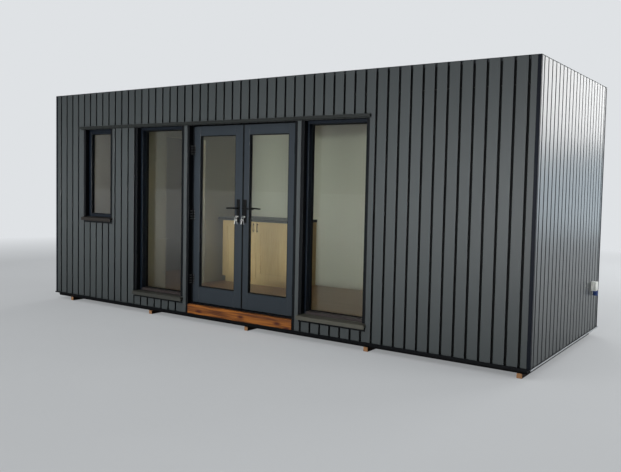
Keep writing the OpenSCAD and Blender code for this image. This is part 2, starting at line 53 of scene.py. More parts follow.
# Two places nearer to each other than this count as one
NEAR = 0.1 * MM
BUILDING = "building"
Point = Sequence[float]
Span = tuple[float, float]


def corners(node: str) -> tuple[Vector, Vector]:
    """Gives a node's lowest and highest corner, in metres."""
    low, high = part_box(node)
    return Vector(low), Vector(high)


class Axis(Enum):
    """A direction of the building: X along the front, Y from front to back, Z up."""

    X = 0
    Y = 1
    Z = 2

    def cell(self, across: float, along: float) -> list[float]:
        """Gives sizes that differ along this axis only.

        Args:
            across: The size along the other two axes.
            along: The size along this axis.

        Returns:
            The sizes along X, Y and Z.
        """
        sizes = [across] * 3
        sizes[self.value] = along
        return sizes


class Side(Enum):
    """Which leaf of the double door a piece belongs to, and which way its lever points."""

    LEFT = -1
    RIGHT = 1

    @property
    def word(self) -> str:
        """The side as it stands in the names of nodes and pieces."""
        return self.name.lower()

    @property
    def body(self) -> str:
        """The moving body of this side's leaf."""
        return f"{self.word}_door"

    def edges(self, node: str) -> Span:
        """Gives the X of a node's edge at the other leaf and of its edge at the hinges."""
        low, high = corners(f"{self.word}_{node}")
        return (high.x, low.x) if self is Side.LEFT else (low.x, high.x)


# Modelling with operators


def pick(*objs: Object) -> None:
    """Selects the given objects alone and makes the first one active.

    Args:
        objs: The objects; without any, nothing is left selected.
    """
    for obj in list(bpy.context.selected_objects):
        obj.select_set(False)
    for obj in objs:
        obj.select_set(True)
    if objs:
        bpy.context.view_layer.objects.active = objs[0]


def set_in_place(name: str) -> Object:
    """Names the new primitive and puts its place, turn and size into its mesh.

    Args:
        name: The object's name.

    Returns:
        The object, which now sits at the origin.
    """
    obj = bpy.context.object
    obj.name = name
    obj.data.name = name
    bpy.ops.object.transform_apply(location=True, rotation=True, scale=True)
    return obj


def add_block(
    name: str, low: Point, high: Point, ease: float = 0.0, strips: int = 2, turn: float = 0.0
) -> Object:
    """Adds a box by its two corners.

    Args:
        name: The object's name.
        low: The lowest corner.
        high: The highest corner.
        ease: How far its edges are rounded.
        strips: How many strips the rounding has.
        turn: Its turn about the upright line through its middle, in radians.

    Returns:
        The box.
    """
    pick()
    low, high = Vector(low), Vector(high)
    bpy.ops.mesh.primitive_cube_add(
        size=1.0, location=(low + high) / 2, rotation=(0, 0, turn), scale=high - low
    )
    return ease_edges(set_in_place(name), ease, strips)


def add_rod(
    name: str, start: Point, end: Point, radius: float, sides: int = 32, ease: float = 0.0, strips: int = 2
) -> Object:
    """Adds a round rod between two points.

    Args:
        name: The object's name.
        start: The middle of one end.
        end: The middle of the other end.
        radius: The rod's radius.
        sides: How many faces go round it.
        ease: How far its edges are rounded.
        strips: How many strips the rounding has.

    Returns:
        The rod.
    """
    pick()
    start, end = Vector(start), Vector(end)
    bpy.ops.mesh.primitive_cylinder_add(
        vertices=sides,
        radius=radius,
        depth=(end - start).length,
        location=(start + end) / 2,
        rotation=(end - start).to_track_quat("Z", "Y").to_euler(),
    )
    return ease_edges(set_in_place(name), ease, strips)


def add_torus(name: str, centre: Point, turn: Point, radii: Span) -> Object:
    """Adds a ring of round wire.

    Args:
        name: The object's name.
        centre: The ring's middle.
        turn: The ring's turn from lying flat, as angles about X, Y and Z.
        radii: The ring's radius and the wire's radius.

    Returns:
        The ring.
    """
    pick()
    bpy.ops.mesh.primitive_torus_add(
        major_radius=radii[0],
        minor_radius=radii[1],
        major_segments=28,
        minor_segments=10,
        location=centre,
        rotation=turn,
    )
    return set_in_place(name)


def apply_modifier(obj: Object, kind: str, **settings: Any) -> None:
    """Adds one modifier, sets it and applies it.

    Args:
        obj: The object to change.
        kind: The modifier's type, such as BEVEL.
        settings: The modifier's own settings by name.
    """
    modifier = obj.modifiers.new(kind.title(), kind)
    for name, value in settings.items():
        setattr(modifier, name, value)
    pick(obj)
    bpy.ops.object.modifier_apply(modifier=modifier.name)


def ease_edges(obj: Object, width: float, strips: int = 2) -> Object:
    """Rounds every sharp edge, as a plane, a press brake or a mould leaves it.

    Args:
        obj: The object to change.
        width: How far the rounding reaches from the edge; 0 leaves the edges sharp.
        strips: How many strips the rounding has.

    Returns:
        The same object.
    """
    if width:
        sharp = math.radians(35)
        apply_modifier(obj, "BEVEL", width=width, segments=strips, limit_method="ANGLE", angle_limit=sharp)
    return obj


def smooth(obj: Object, degrees: float = 40.0) -> Object:
    """Shades an object smooth, apart from edges that are sharper than an angle.

    Args:
        obj: The object to shade.
        degrees: The angle past which an edge stays sharp.

    Returns:
        The same object.
    """
    pick(obj)
    bpy.ops.object.shade_smooth_by_angle(angle=math.radians(degrees))
    return obj


def join(name: str, objs: Sequence[Object], ease: float = 0.0) -> Object:
    """Joins objects into one.

    Args:
        name: The joined object's name.
        objs: The objects.
        ease: How far the edges of each are rounded first.

    Returns:
        The joined object.
    """
    for obj in objs:
        ease_edges(obj, ease)
    pick(*objs)
    if len(objs) > 1:
        bpy.ops.object.join()
    joined = bpy.context.object
    joined.name = name
    joined.data.name = name
    return joined


@contextmanager
def edit(obj: Object, domain: str = "FACE", test: Optional[Callable[[Any], bool]] = None) -> Iterator[None]:
    """Opens an object in edit mode with some of its faces or edges selected, and closes it afterwards.

    Args:
        obj: The object.
        domain: FACE or EDGE.
        test: Says whether a face or an edge is selected; without it, all are.

    Yields:
        Nothing, while edit mode is on.
    """
    pick(obj)
    bpy.ops.object.mode_set(mode="EDIT")
    bpy.ops.mesh.select_mode(type=domain)
    bpy.ops.mesh.select_all(action="DESELECT" if test else "SELECT")
    if test:
        bpy.ops.object.mode_set(mode="OBJECT")
        for item in obj.data.polygons if domain == "FACE" else obj.data.edges:
            item.select = test(item)
        bpy.ops.object.mode_set(mode="EDIT")
    yield
    bpy.ops.object.mode_set(mode="OBJECT")


def eased_copy(node: str, name: str, ease: float, strips: int = 2) -> Object:
    """Copies a node's mesh, takes out the seams inside its flat faces and rounds its edges.

    Args:
        node: The frame's node.
        name: The copy's name.
        ease: How far its edges are rounded.
        strips: How many strips the rounding has.

    Returns:
        The copy, free of its parent and materials.
    """
    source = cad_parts[node]
    copy = source.copy()
    copy.data = source.data.copy()
    copy.data.materials.clear()
    copy.parent = None
    copy.matrix_world = source.matrix_world.copy()
    bpy.context.scene.collection.objects.link(copy)
    pick(copy)
    set_in_place(name)
    with edit(copy):
        bpy.ops.mesh.remove_doubles(threshold=0.02 * MM)
        bpy.ops.mesh.dissolve_limited(angle_limit=math.radians(0.5))
    return ease_edges(copy, ease, strips)


def cut_away(obj: Object, boxes: Iterable[tuple[Point, Point]]) -> None:
    """Saws boxes out of an object.

    Args:
        obj: The object to change.
        boxes: The lowest and highest corner of each box.
    """
    for low, high in boxes:
        cutter = add_block("cutter", low, high)
        apply_modifier(obj, "BOOLEAN", operation="DIFFERENCE", solver="EXACT", object=cutter)
        bpy.data.objects.remove(cutter, do_unlink=True)


def frame_members(outer: tuple[Vector, Vector], inner: tuple[Vector, Vector]) -> list[Object]:
    """Builds the four members of a frame, whose butt joints show as fine lines once they are eased.

    Args:
        outer: The frame's lowest and highest corner.
        inner: The lowest and highest corner of what it holds.

    Returns:
        Left upright, right upright, top rail and bottom rail.
    """
    (low, high), (a, b) = outer, inner
    boxes = (
        (low, (a.x, high.y, high.z)),
        ((b.x, low.y, low.z), high),
        ((a.x, low.y, b.z), (b.x, high.y, high.z)),
        ((a.x, low.y, low.z), (b.x, high.y, a.z)),
    )
    return [add_block("member", *box) for box in boxes]


def add_bead(name: str, pane: tuple[Vector, Vector], ends: Span, width: float) -> Object:
    """Builds a thin ring that holds a pane, by insetting a plate and extruding what is left.

    Args:
        name: The ring's name.
        pane: The pane's lowest and highest corner.
        ends: Where the ring starts and ends along Y.
        width: The width of the ring on each side.

    Returns:
        The ring.
    """
    pick()
    low, high = pane
    place = ((low.x + high.x) / 2, ends[0], (low.z + high.z) / 2)
    bpy.ops.mesh.primitive_plane_add(size=1.0, location=place, rotation=(math.radians(90), 0, 0))
    bpy.context.object.scale = (high.x - low.x, high.z - low.z, 1)
    ring = set_in_place(name)
    with edit(ring):
        bpy.ops.mesh.inset(thickness=width)
        bpy.ops.mesh.delete(type="FACE")
        bpy.ops.mesh.select_all(action="SELECT")
        bpy.ops.mesh.extrude_region_move(TRANSFORM_OT_translate={"value": (0, ends[1] - ends[0], 0)})
        bpy.ops.mesh.select_all(action="SELECT")
        bpy.ops.mesh.normals_make_consistent(inside=False)
    return ease_edges(ring, 3 * MM)


# Finishes


def linear(code: str) -> tuple[float, float, float, float]:
    """Turns an sRGB hex colour into linear values with full opacity.

    Args:
        code: The colour as six hex digits.

    Returns:
        Red, green, blue and 1.
    """
    parts = [int(code[i : i + 2], 16) / 255 for i in (0, 2, 4)]
    made = [p / 12.92 if p <= 0.04045 else ((p + 0.055) / 1.055) ** 2.4 for p in parts]
    return (made[0], made[1], made[2], 1.0)


class Graph:
    """The nodes of a material or of the world, which start empty."""

    def __init__(self, tree: NodeTree) -> None:
        """Empties the tree."""
        self.tree = tree
        tree.nodes.clear()

    def add(
        self,
        kind: str,
        settings: Optional[dict[Any, Any]] = None,
        links: Optional[dict[Any, NodeSocket]] = None,
    ) -> Node:
        """Adds a node with its settings and links.

        Args:
            kind: The node's type without its ShaderNode prefix.
            settings: Values by name: a lower-case name is the node's own setting, any other is an input's.
            links: The socket that each input, by name or number, takes its value from.

        Returns:
            The node.
        """
        node = self.tree.nodes.new("ShaderNode" + kind)
        for name, value in (settings or {}).items():
            if isinstance(name, str) and name[0].islower():
                setattr(node, name, value)
            else:
                node.inputs[name].default_value = value
        for name, socket in (links or {}).items():
            self.tree.links.new(socket, node.inputs[name])
        return node


class Surface(Graph):
    """A material's nodes: its shader, its output and the patterns that feed them."""

    def __init__(self, tree: NodeTree, finish: "Finish") -> None:
        """Adds the shader with the finish's own values.

        Args:
            tree: The material's node tree.
            finish: The finish.
        """
        super().__init__(tree)
        values = {
            "Base Color": linear(finish.colour),
            "Metallic": finish.metallic,
            "Roughness": finish.roughness,
            "IOR": finish.ior,
            "Specular IOR Level": finish.specular,
        }
        self.shader = self.add("BsdfPrincipled", values)
        self.output = self.add("OutputMaterial", links={"Surface": self.shader.outputs[0]})

    def pattern(self, kind: str, cell: Point, output: str = "Fac", **settings: Any) -> NodeSocket:
        """Draws a pattern in cells of a real size along X, Y and Z, in millimetres, and gives one output."""
        return self.add(kind, {"Scale": 1.0, **settings}, {"Vector": self.place(cell)}).outputs[output]

    def place(self, cell: Point) -> NodeSocket:
        """Gives Object coordinates with units of a real length along X, Y and Z, in millimetres."""
        scale = {"Scale": [1 / (size * MM) for size in cell]}
        return self.add("Mapping", scale, {"Vector": self.add("TexCoord").outputs["Object"]}).outputs[0]

    def along(self, axis: Axis) -> NodeSocket:
        """Gives the place along one axis of the building, in metres."""
        where = self.add("TexCoord").outputs["Object"]
        return self.add("SeparateXYZ", links={0: where}).outputs[axis.value]

    def past(self, axis: Axis, start: float, end: float) -> NodeSocket:
        """Gives a value that goes from 0 to 1 between two distances from the building's middle, in metres."""
        away = self.add("Math", {"operation": "ABSOLUTE"}, {0: self.along(axis)}).outputs[0]
        return self.add("MapRange", {"From Min": start, "From Max": end}, {"Value": away}).outputs[0]

    def vary(self, factor: NodeSocket, first: str, second: str) -> None:
        """Colours the shader by a factor that runs between two colours.

        Args:
            factor: 0 for the first colour and 1 for the second.
            first: The first colour as an sRGB hex value.
            second: The second colour.
        """
        colours = {"data_type": "RGBA", 6: linear(first), 7: linear(second)}
        mix = self.add("Mix", colours, {0: factor})
        self.tree.links.new(mix.outputs[2], self.shader.inputs["Base Color"])

    def overlay(self, mask: NodeSocket, colour: str) -> None:
        """Lays one more colour over the shader's colour.

        Args:
            mask: 1 where the new colour shows and 0 where it doesn't.
            colour: The new colour as an sRGB hex value.
        """
        under = self.shader.inputs["Base Color"].links[0].from_socket
        mix = self.add("Mix", {"data_type": "RGBA", 7: linear(colour)}, {0: mask, 6: under})
        self.tree.links.new(mix.outputs[2], self.shader.inputs["Base Color"])

    def roughen(self, factor: NodeSocket, spread: float) -> None:
        """Makes the roughness follow a pattern around its mean.

        Args:
            factor: The pattern, from 0 to 1.
            spread: How far the roughness moves to each side of its mean.
        """
        mean = self.shader.inputs["Roughness"].default_value
        reach = self.add("MapRange", {"To Min": mean - spread, "To Max": mean + spread}, {"Value": factor})
        self.tree.links.new(reach.outputs[0], self.shader.inputs["Roughness"])

    def emboss(self, height: NodeSocket, depth: float) -> None:
        """Raises the surface by a pattern of a depth in millimetres."""
        bump = self.add("Bump", {"Strength": 1.0, "Distance": depth * MM}, {"Height": height})
        self.tree.links.new(bump.outputs[0], self.shader.inputs["Normal"])


@dataclass(frozen=True)
class Finish:
    """What every finish has: a name, a slot, a colour and how rough it is.

    Attributes:
        name: The material's name.
        slot: The record's material slot for this finish; empty where only nodes have it. Not used.
        colour: The main colour as an sRGB hex value.
        roughness: The mean roughness.
        metallic: 1 for bare metal, 0 for anything else.
        ior: The index of refraction of the surface, left at Blender's own for metal.
        specular: The strength of the reflection, 0.5 for a closed surface and less for one full of pores.
    """

    name: str
    slot: str
    colour: str
    roughness: float = 0.5
    metallic: float = 0.0
    ior: float = 1.5
    specular: float = 0.5

    def material(self) -> Material:
        """Gives this finish's material, and makes it the first time.

        Returns:
            The material.
        """
        made = bpy.data.materials.get(self.name)
        if made is None:
            made = bpy.data.materials.new(self.name)
            made.use_nodes = True
            self.dress(Surface(made.node_tree, self))
        return made

    def dress(self, surface: Surface) -> None:
        """Adds this finish's own pattern.

        Args:
            surface: The material's nodes.
        """


@dataclass(frozen=True)
class BoardPaint(Finish):
    """Satin factory paint on smooth timber boards: slate grey, with a faint long grain.

    Attributes:
        run: The axis that the boards follow one another along.
        start: The middle of the first gap on that axis, in metres.
        pitch: The distance from board to board, in metres.
        second: The colour of the lightest boards.
        face: How far the boards' faces lie from the middle of the building, in metres.
        edge: The colour of a board's edges in the gaps, black as painted shade of the deep gaps.
    """

    run: Axis = Axis.X
    start: float = 0.0
    pitch: float = 0.12
    second: str = "414647"
    face: float = 1.0
    edge: str = "06080b"

    def dress(self, surface: Surface) -> None:
        """Adds the tone of each board, its grain, a faint clouding and the painted shade on its edges.

        Args:
            surface: The material's nodes.
        """
        value = surface.along(self.run)
        for operation, second in (("SUBTRACT", self.start), ("DIVIDE", self.pitch), ("FLOOR", 0.0)):
            value = surface.add("Math", {"operation": operation, 1: second}, {0: value}).outputs[0]
        tone = surface.add("TexWhiteNoise", {"noise_dimensions": "1D"}, {"W": value}).outputs["Value"]
        # Grain lines 3 mm apart and 250 mm long, drawn coarser than the real ones so that they show
        grain = surface.pattern("TexNoise", (3.0, 3.0, 250.0), Detail=3.0, Roughness=0.55)
        cloud = surface.pattern("TexNoise", (700.0, 700.0, 1400.0), Detail=2.0)
        blend = surface.add("Math", {"operation": "MULTIPLY_ADD", 1: 0.5, 2: 0.1}, {0: tone}).outputs[0]
        for part, share in ((grain, 0.35), (cloud, 0.3)):
            links = {0: part, 2: blend}
            blend = surface.add("Math", {"operation": "MULTIPLY_ADD", 1: share}, links).outputs[0]
        surface.vary(blend, self.colour, self.second)
        # The face's paint gives way to painted shade from 3 to 6 mm behind the face, where the gaps are in
        # shade
        through = Axis(1 - self.run.value)
        surface.overlay(surface.past(through, self.face - 3 * MM, self.face - 6 * MM), self.edge)
        surface.roughen(grain, 0.05)
        surface.emboss(grain, 0.25)


@dataclass(frozen=True)
class Coating(Finish):
    """Paint or powder coat on timber or folded metal: one colour under an orange-peel skin.

    Attributes:
        second: The colour that the first one drifts to.
        peel: The size of the skin's dimples, in millimetres.
        depth: The depth of the dimples, in millimetres.
    """

    second: str = "000000"
    peel: float = 4.0
    depth: float = 0.03

    def dress(self, surface: Surface) -> None:
        """Adds the drift of colour and the dimples.

        Args:
            surface: The material's nodes.
        """
        drift = surface.pattern("TexNoise", (260.0, 260.0, 420.0), Detail=3.0)
        surface.vary(drift, self.colour, self.second)
        surface.roughen(drift, 0.06)
        surface.emboss(surface.pattern("TexNoise", [self.peel] * 3, Detail=1.0), self.depth)


@dataclass(frozen=True)
class TwoToneCoating(Coating):
    """Folded black sheet, with a painted sheen in light grey along the two ends where light glances off it.

    Attributes:
        end_tone: The colour along the ends.
        reach: How far the ends' outer faces lie from the middle of the building, in metres.
    """

    # The light grey along the ends is a painted sheen
    end_tone: str = "b4b8bb"
    reach: float = 1.0

    def dress(self, surface: Surface) -> None:
        """Adds the coat's own pattern, and the painted sheen in light grey on the sheet along the ends."""
        super().dress(surface)
        surface.overlay(surface.past(Axis.X, self.reach - 2 * MM, self.reach - 1.99 * MM), self.end_tone)


@dataclass(frozen=True)
class SawnTimber(Finish):
    """Sawn softwood: yearly rings that run out into long grain, knots, and a rough, matt surface.

    Attributes:
        second: The colour of the dark late wood.
        knot: The colour of a knot.
        grain: The axis that the timber runs along.
        ring: The width of a yearly ring, in millimetres.
    """

    second: str = "000000"
    knot: str = "3a2312"
    grain: Axis = Axis.Y
    ring: float = 5.0

    def dress(self, surface: Surface) -> None:
        """Adds the rings, the knots and the marks of the saw.

        Args:
            surface: The material's nodes.
        """
        bend = surface.pattern("TexNoise", self.grain.cell(40.0, 900.0), "Color", Detail=2.0)
        straight = surface.place(self.grain.cell(1000.0, 4000.0))
        swing = surface.add("VectorMath", {"operation": "MULTIPLY", 1: (0.05, 0.05, 0.05)}, {0: bend})
        warped = surface.add("VectorMath", {"operation": "ADD"}, {0: straight, 1: swing.outputs[0]})
        lines = {
            "wave_type": "RINGS",
            "rings_direction": self.grain.name,
            "wave_profile": "SAW",
            "Scale": 1 / (self.ring * MM) / 20,
            "Distortion": 1.5,
            "Detail": 2.0,
        }
        rings = surface.add("TexWave", lines, {"Vector": warped.outputs[0]}).outputs["Fac"]
        marks = surface.pattern("TexNoise", self.grain.cell(1.5, 30.0), Detail=3.0)
        surface.vary(rings, self.colour, self.second)
        spots = surface.pattern("TexVoronoi", self.grain.cell(90.0, 260.0), "Distance", Randomness=1.0)
        self.add_knots(surface, spots, (0.1, 0.2))
        surface.roughen(marks, 0.08)
        surface.emboss(marks, 0.5)

    def add_knots(self, surface: Surface, spots: NodeSocket, rim: Span) -> None:
        """Lays the knots over the wood, which fade out between two distances from their middles."""
        fade = {"From Min": rim[0], "From Max": rim[1], "To Min": 1.0, "To Max": 0.0}
        surface.overlay(surface.add("MapRange", fade, {"Value": spots}).outputs[0], self.knot)


@dataclass(frozen=True)
class StainedBeam(SawnTimber):
    """Planed softwood under an orange-brown stain: long streaks of light and dark grain, and soft knots."""

    def dress(self, surface: Surface) -> None:
        """Adds the streaks, the fine grain in them and the knots.

        Args:
            surface: The material's nodes.
        """
        streaks = surface.pattern("TexNoise", self.grain.cell(17.0, 330.0), Detail=1.0)
        lines = surface.pattern("TexNoise", self.grain.cell(5.0, 160.0), Detail=3.0)
        broad = surface.add("MapRange", {"From Min": 0.36, "From Max": 0.66}, {"Value": streaks}).outputs[0]
        fine = surface.add("MapRange", {"From Min": 0.3, "From Max": 0.7}, {"Value": lines}).outputs[0]
        share = surface.add("Math", {"operation": "MULTIPLY", 1: 0.35}, {0: fine}).outputs[0]
        blend = surface.add("Math", {"operation": "MULTIPLY_ADD", 1: 0.75}, {0: broad, 2: share})
        surface.vary(blend.outputs[0], self.colour, self.second)
        # One knot in each stretch of 340 mm of the face, on a pattern that runs straight through the timber
        where = surface.add("SeparateXYZ", links={0: surface.place((340.0, 340.0, 130.0))}).outputs
        face = surface.add("CombineXYZ", links={"X": where[self.grain.value], "Y": where["Z"]}).outputs[0]
        spots = surface.add("TexVoronoi", {"voronoi_dimensions": "2D", "Scale": 1.0}, {"Vector": face})
        self.add_knots(surface, spots.outputs["Distance"], (0.05, 0.2))
        surface.roughen(lines, 0.06)
        surface.emboss(lines, 0.3)


@dataclass(frozen=True)
class BearerTimber(SawnTimber):
    """Treated timber that lies on the ground: near-black along its sides as painted shade, and pale pinkish
    wood at its sawn ends.

    Attributes:
        cut: The colour of a sawn end.
        reach: How far the ends lie from the middle of the building, in metres.
    """

    cut: str = "9c7552"
    reach: float = 1.0

    def dress(self, surface: Surface) -> None:
        """Adds the timber's own pattern, and the pale wood within 4 mm of the ends."""
        super().dress(surface)
        surface.overlay(surface.past(self.grain, self.reach - 4 * MM, self.reach - 2 * MM), self.cut)


@dataclass(frozen=True)
class WallSkin(Finish):
    """A wall panel: painted lining on its room side, and a black weather membrane on its outer side.

    Attributes:
        membrane: The colour of the membrane.
        across: The axis through the wall.
        limit: Where on that axis the lining ends, in metres.
        outer: 1 if the outside lies above the limit, -1 if below.
    """

    membrane: str = "040506"
    across: Axis = Axis.Y
    limit: float = 0.0
    outer: int = 1

    def dress(self, surface: Surface) -> None:
        """Adds the change from lining to membrane and the stipple of a paint roller, 2.5 mm coarse.

        Args:
            surface: The material's nodes.
        """
        test = {"operation": "GREATER_THAN" if self.outer > 0 else "LESS_THAN", 1: self.limit}
        outside = surface.add("Math", test, {0: surface.along(self.across)}).outputs[0]
        stipple = surface.pattern("TexNoise", (2.5, 2.5, 2.5), Detail=2.0)
        surface.vary(outside, self.colour, self.membrane)
        surface.roughen(stipple, 0.05)
        surface.emboss(stipple, 0.08)


@dataclass(frozen=True)
class Laminate(Finish):
    """Printed wood on a pressed board: straight fine grain under a thin clear coat.

    Attributes:
        second: The colour of the darker grain.
        grain: The axis that the grain runs along.
        streak: The width of a streak, in millimetres.
    """

    second: str = "000000"
    grain: Axis = Axis.X
    streak: float = 6.0

    def dress(self, surface: Surface) -> None:
        """Adds the streaks, 45 times as long as they are wide.

        Args:
            surface: The material's nodes.
        """
        cell = self.grain.cell(self.streak, self.streak * 45)
        streaks = surface.pattern("TexNoise", cell, Detail=4.0, Roughness=0.6)
        sharp = surface.add("MapRange", {"From Min": 0.35, "From Max": 0.65}, {"Value": streaks})
        surface.vary(sharp.outputs[0], self.colour, self.second)
        surface.roughen(streaks, 0.04)
        surface.emboss(streaks, 0.05)


@dataclass(frozen=True)
class ClearGlass(Finish):
    """Float glass of a sealed unit: clear, faintly green, and mirror-smooth, so it shows both room and sky.

    Attributes:
        tint: The colour that a lamp's light takes through the unit.
    """

    tint: str = "e4ece8"

    def dress(self, surface: Surface) -> None:
        """Lets the glass show what is behind it, and lets the lamps light the room through it.

        Args:
            surface: The material's nodes.
        """
        surface.shader.inputs["Transmission Weight"].default_value = 1.0
        ray = surface.add("LightPath").outputs["Is Shadow Ray"]
        air = surface.add("BsdfTransparent", {"Color": linear(self.tint)}).outputs[0]
        mix = surface.add("MixShader", links={0: ray, 1: surface.shader.outputs[0], 2: air})
        surface.tree.links.new(mix.outputs[0], surface.output.inputs["Surface"])


@dataclass(frozen=True)
class PlatedMetal(Finish):
    """Nickel plate on small hardware: bright, with fine turning and handling marks."""

    def dress(self, surface: Surface) -> None:
        """Adds the marks, 0.8 mm apart.

        Args:
            surface: The material's nodes.
        """
        marks = surface.pattern("TexNoise", (0.8, 0.8, 6.0), Detail=2.0)
        surface.roughen(marks, 0.08)
        surface.emboss(marks, 0.01)


@dataclass(frozen=True)
class RubberSheet(Finish):
    """Rubber roofing sheet: matt black, chalky where it has lain in the weather, with a fine woven texture.

    Attributes:
        chalk: The colour of the chalky patches.
    """

    chalk: str = "3a3c3e"

    def dress(self, surface: Surface) -> None:
        """Adds the chalky patches and a weave of 3 mm, drawn coarser than the real one so that it shows.

        Args:
            surface: The material's nodes.
        """
        patches = surface.pattern("TexNoise", (600.0, 600.0, 600.0), Detail=4.0)
        surface.vary(patches, self.colour, self.chalk)
        surface.roughen(patches, 0.05)
        surface.emboss(surface.pattern("TexVoronoi", (3.0, 3.0, 3.0), "Distance"), 0.1)


# The building's finishes

# Powder-coated sheet and painted trims: dark, so the folds and steps show by their soft gloss alone
CORNER_COAT = Coating("powder_coated_corner", "dark_trim", "060b14", 0.5, specular=0.1, second="0a101b")
EDGE_COAT = Coating("powder_coated_roof_edge", "dark_trim", "20262b", 0.42, specular=0.3, second="282e33")
FLASHING_COAT = Coating("powder_coated_flashing", "grey_trim", "1f2221", 0.45, specular=0.2, second="252827")
# Black trim paint; under the sills it is painted shadow, and on the door's head and jambs partly painted
# shade
BLACK_TRIM_AND_SHADE = Coating("black_painted_trim", "black_trim", "040609", 0.45, specular=0.12, second="080b0f")
# The base flashing is black, with a painted sheen in light grey along the two ends
BASE_FLASHING_SHEET = TwoToneCoating(
    "base_flashing_sheet",
    "dark_trim",
    BLACK_TRIM_AND_SHADE.colour,
    BLACK_TRIM_AND_SHADE.roughness,
    specular=BLACK_TRIM_AND_SHADE.specular,
    second=BLACK_TRIM_AND_SHADE.second,
    reach=corners("base_flashing")[1].x,
)
# Dull grey-brown paint on sills and bottom rails: a warm line under the blue-black frames
SILL_COAT = Coating("painted_sill", "grey_trim", "32332f", 0.5, specular=0.3, second="3b3b36")
# The right window's sill is paler: painted light on the same sill paint
LIT_RIGHT_SILL_COAT = Coating("painted_right_sill", "grey_trim", "45443d", 0.5, specular=0.3, second="504f46")
DARK_SILL_COAT = Coating(
    "dark_brown_small_sill", "grey_trim", "1c1a18", 0.65, specular=0.2, second="2a2623", depth=0.2
)
BOTTOM_RAIL_PAINT = Coating(
    "dusty_bottom_rail", "painted_frame", "2f2a2a", 0.45, specular=0.2, second="393332"
)
# Satin paint on joinery: a cold tone and a soft shine along the eased edges
FRAME_PAINT = Coating(
    "anthracite_frame_paint", "painted_frame", "0a1119", 0.35, specular=0.2, second="0e1722"
)
DOOR_PAINT = Coating(
    "slate_blue_door_paint", "door_paint", "232a30", 0.38, specular=0.3, second="283037", peel=5.0
)
# Powder coat and rubber: black marks that read as outlines, with hardly any highlight
BLACK_HARDWARE = Coating(
    "black_powder_coat", "black_hardware", "030405", specular=0.12, second="060708", peel=1.5, depth=0.02
)
# Black on the beads and gaskets round the glass: partly black rubber, partly painted shade of the recesses
# round the panes
GASKET_AND_SHADE = Coating(
    "black_glazing_gasket", "black_trim", "030405", 0.6, specular=0.15, second="060708", peel=2.0
)
# Bright plate: small glints at the keys, the lock and the screws
NICKEL = PlatedMetal("nickel_plate", "bright_metal", "e8e7e4", 0.35, metallic=1.0)
# Clear glass: the room shows, under a mirror image of the light surroundings
GLASS = ClearGlass("clear_float_glass", "", "f4faf7", 0.0, ior=1.45)
# Stained softwood: the one warm, lively stripe of the front
STEP_WOOD = StainedBeam(
    "stained_step_timber",
    "step_timber",
    "9e5f1f",
    0.55,
    specular=0.3,
    second="502609",
    knot="3f1008",
    grain=Axis.X,
)
# Rough sawn timber: matt and dark, apart from the bearers' pale cut ends; along the bearers' sides the dark
# colour is painted shade
BEARER_WOOD = BearerTimber(
    "damp_bearer_timber",
    "bearer_timber",
    "24160f",
    0.8,
    specular=0.2,
    second="1a0f0a",
    knot="0d0806",
    reach=1.2,
)
# The base beams' black is a dark stain, deepened as painted shade under the boards
BASE_WOOD = SawnTimber(
    "black_stained_base_timber",
    "black_timber",
    "040405",
    0.8,
    specular=0.12,
    second="08080a",
    knot="020202",
    grain=Axis.X,
)
# Oak print and laminate: fine straight streaks with an even, low shine
CABINET = Laminate(
    "oak_cabinet_panel", "cabinet_panel", "c2a273", 0.4, second="ad8a59", grain=Axis.Z, streak=5.0
)
WORKTOP = Laminate("dark_worktop", "worktop", "1b1815", 0.45, second="25211d")
FLOOR_OAK = Laminate("oak_floor_boards", "floor_boards", "8a6543", 0.35, second="6f4d30", streak=9.0)
# Rubber sheet: a flat, dull roof with pale chalky clouds
ROOF_RUBBER = RubberSheet("rubber_roof_sheet", "roof_rubber", "26282a", 0.75)
# Moulded plastic: clean colour and a small sharp highlight on the rounded edges
WHITE_PLASTIC = Coating(
    "white_moulded_plastic", "white_plastic", "f2f2ec", 0.3, second="e9e9e2", peel=3.0, depth=0.01
)
BLUE_PLASTIC = Coating(
    "blue_moulded_plastic", "blue_plastic", "17336e", 0.32, second="1b3a78", peel=3.0, depth=0.01
)
# Emulsion on lining board: soft, warm and without shine
# The partition's paint is darker than the lining: painted shade
SHADED_PARTITION_PAINT = Coating(
    "khaki_partition_paint", "", "968c79", 0.6, specular=0.2, second="9c927f", peel=2.5, depth=0.08
)
LINING_TONE = "a49c90"
CEILING_TONE = "c6c4bc"


def dress_node(node: str, finish: Finish) -> None:
    """Gives a node that stays in view its finish.

    Args:
        node: The frame's node.
        finish: Its finish.
    """
    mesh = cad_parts[node].data
    mesh.materials.clear()
    mesh.materials.append(finish.material())
    LOG.info("%s: %s", node, finish.name)


def hand_over(piece: Object, finish: Finish, *instead_of: str, body: str = BUILDING) -> None:
    """Dresses a finished piece, joins it to its body and hides the nodes that it stands for.

    Args:
        piece: The piece.
        finish: Its finish.
        instead_of: The nodes that it takes the place of.
        body: The body that it moves with.
    """
    piece.data.materials.clear()
    piece.data.materials.append(finish.material())
    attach(piece, body)
    if instead_of:
        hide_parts(*instead_of)
    LOG.info("%s: %d faces on %s", piece.name, len(piece.data.polygons), body)


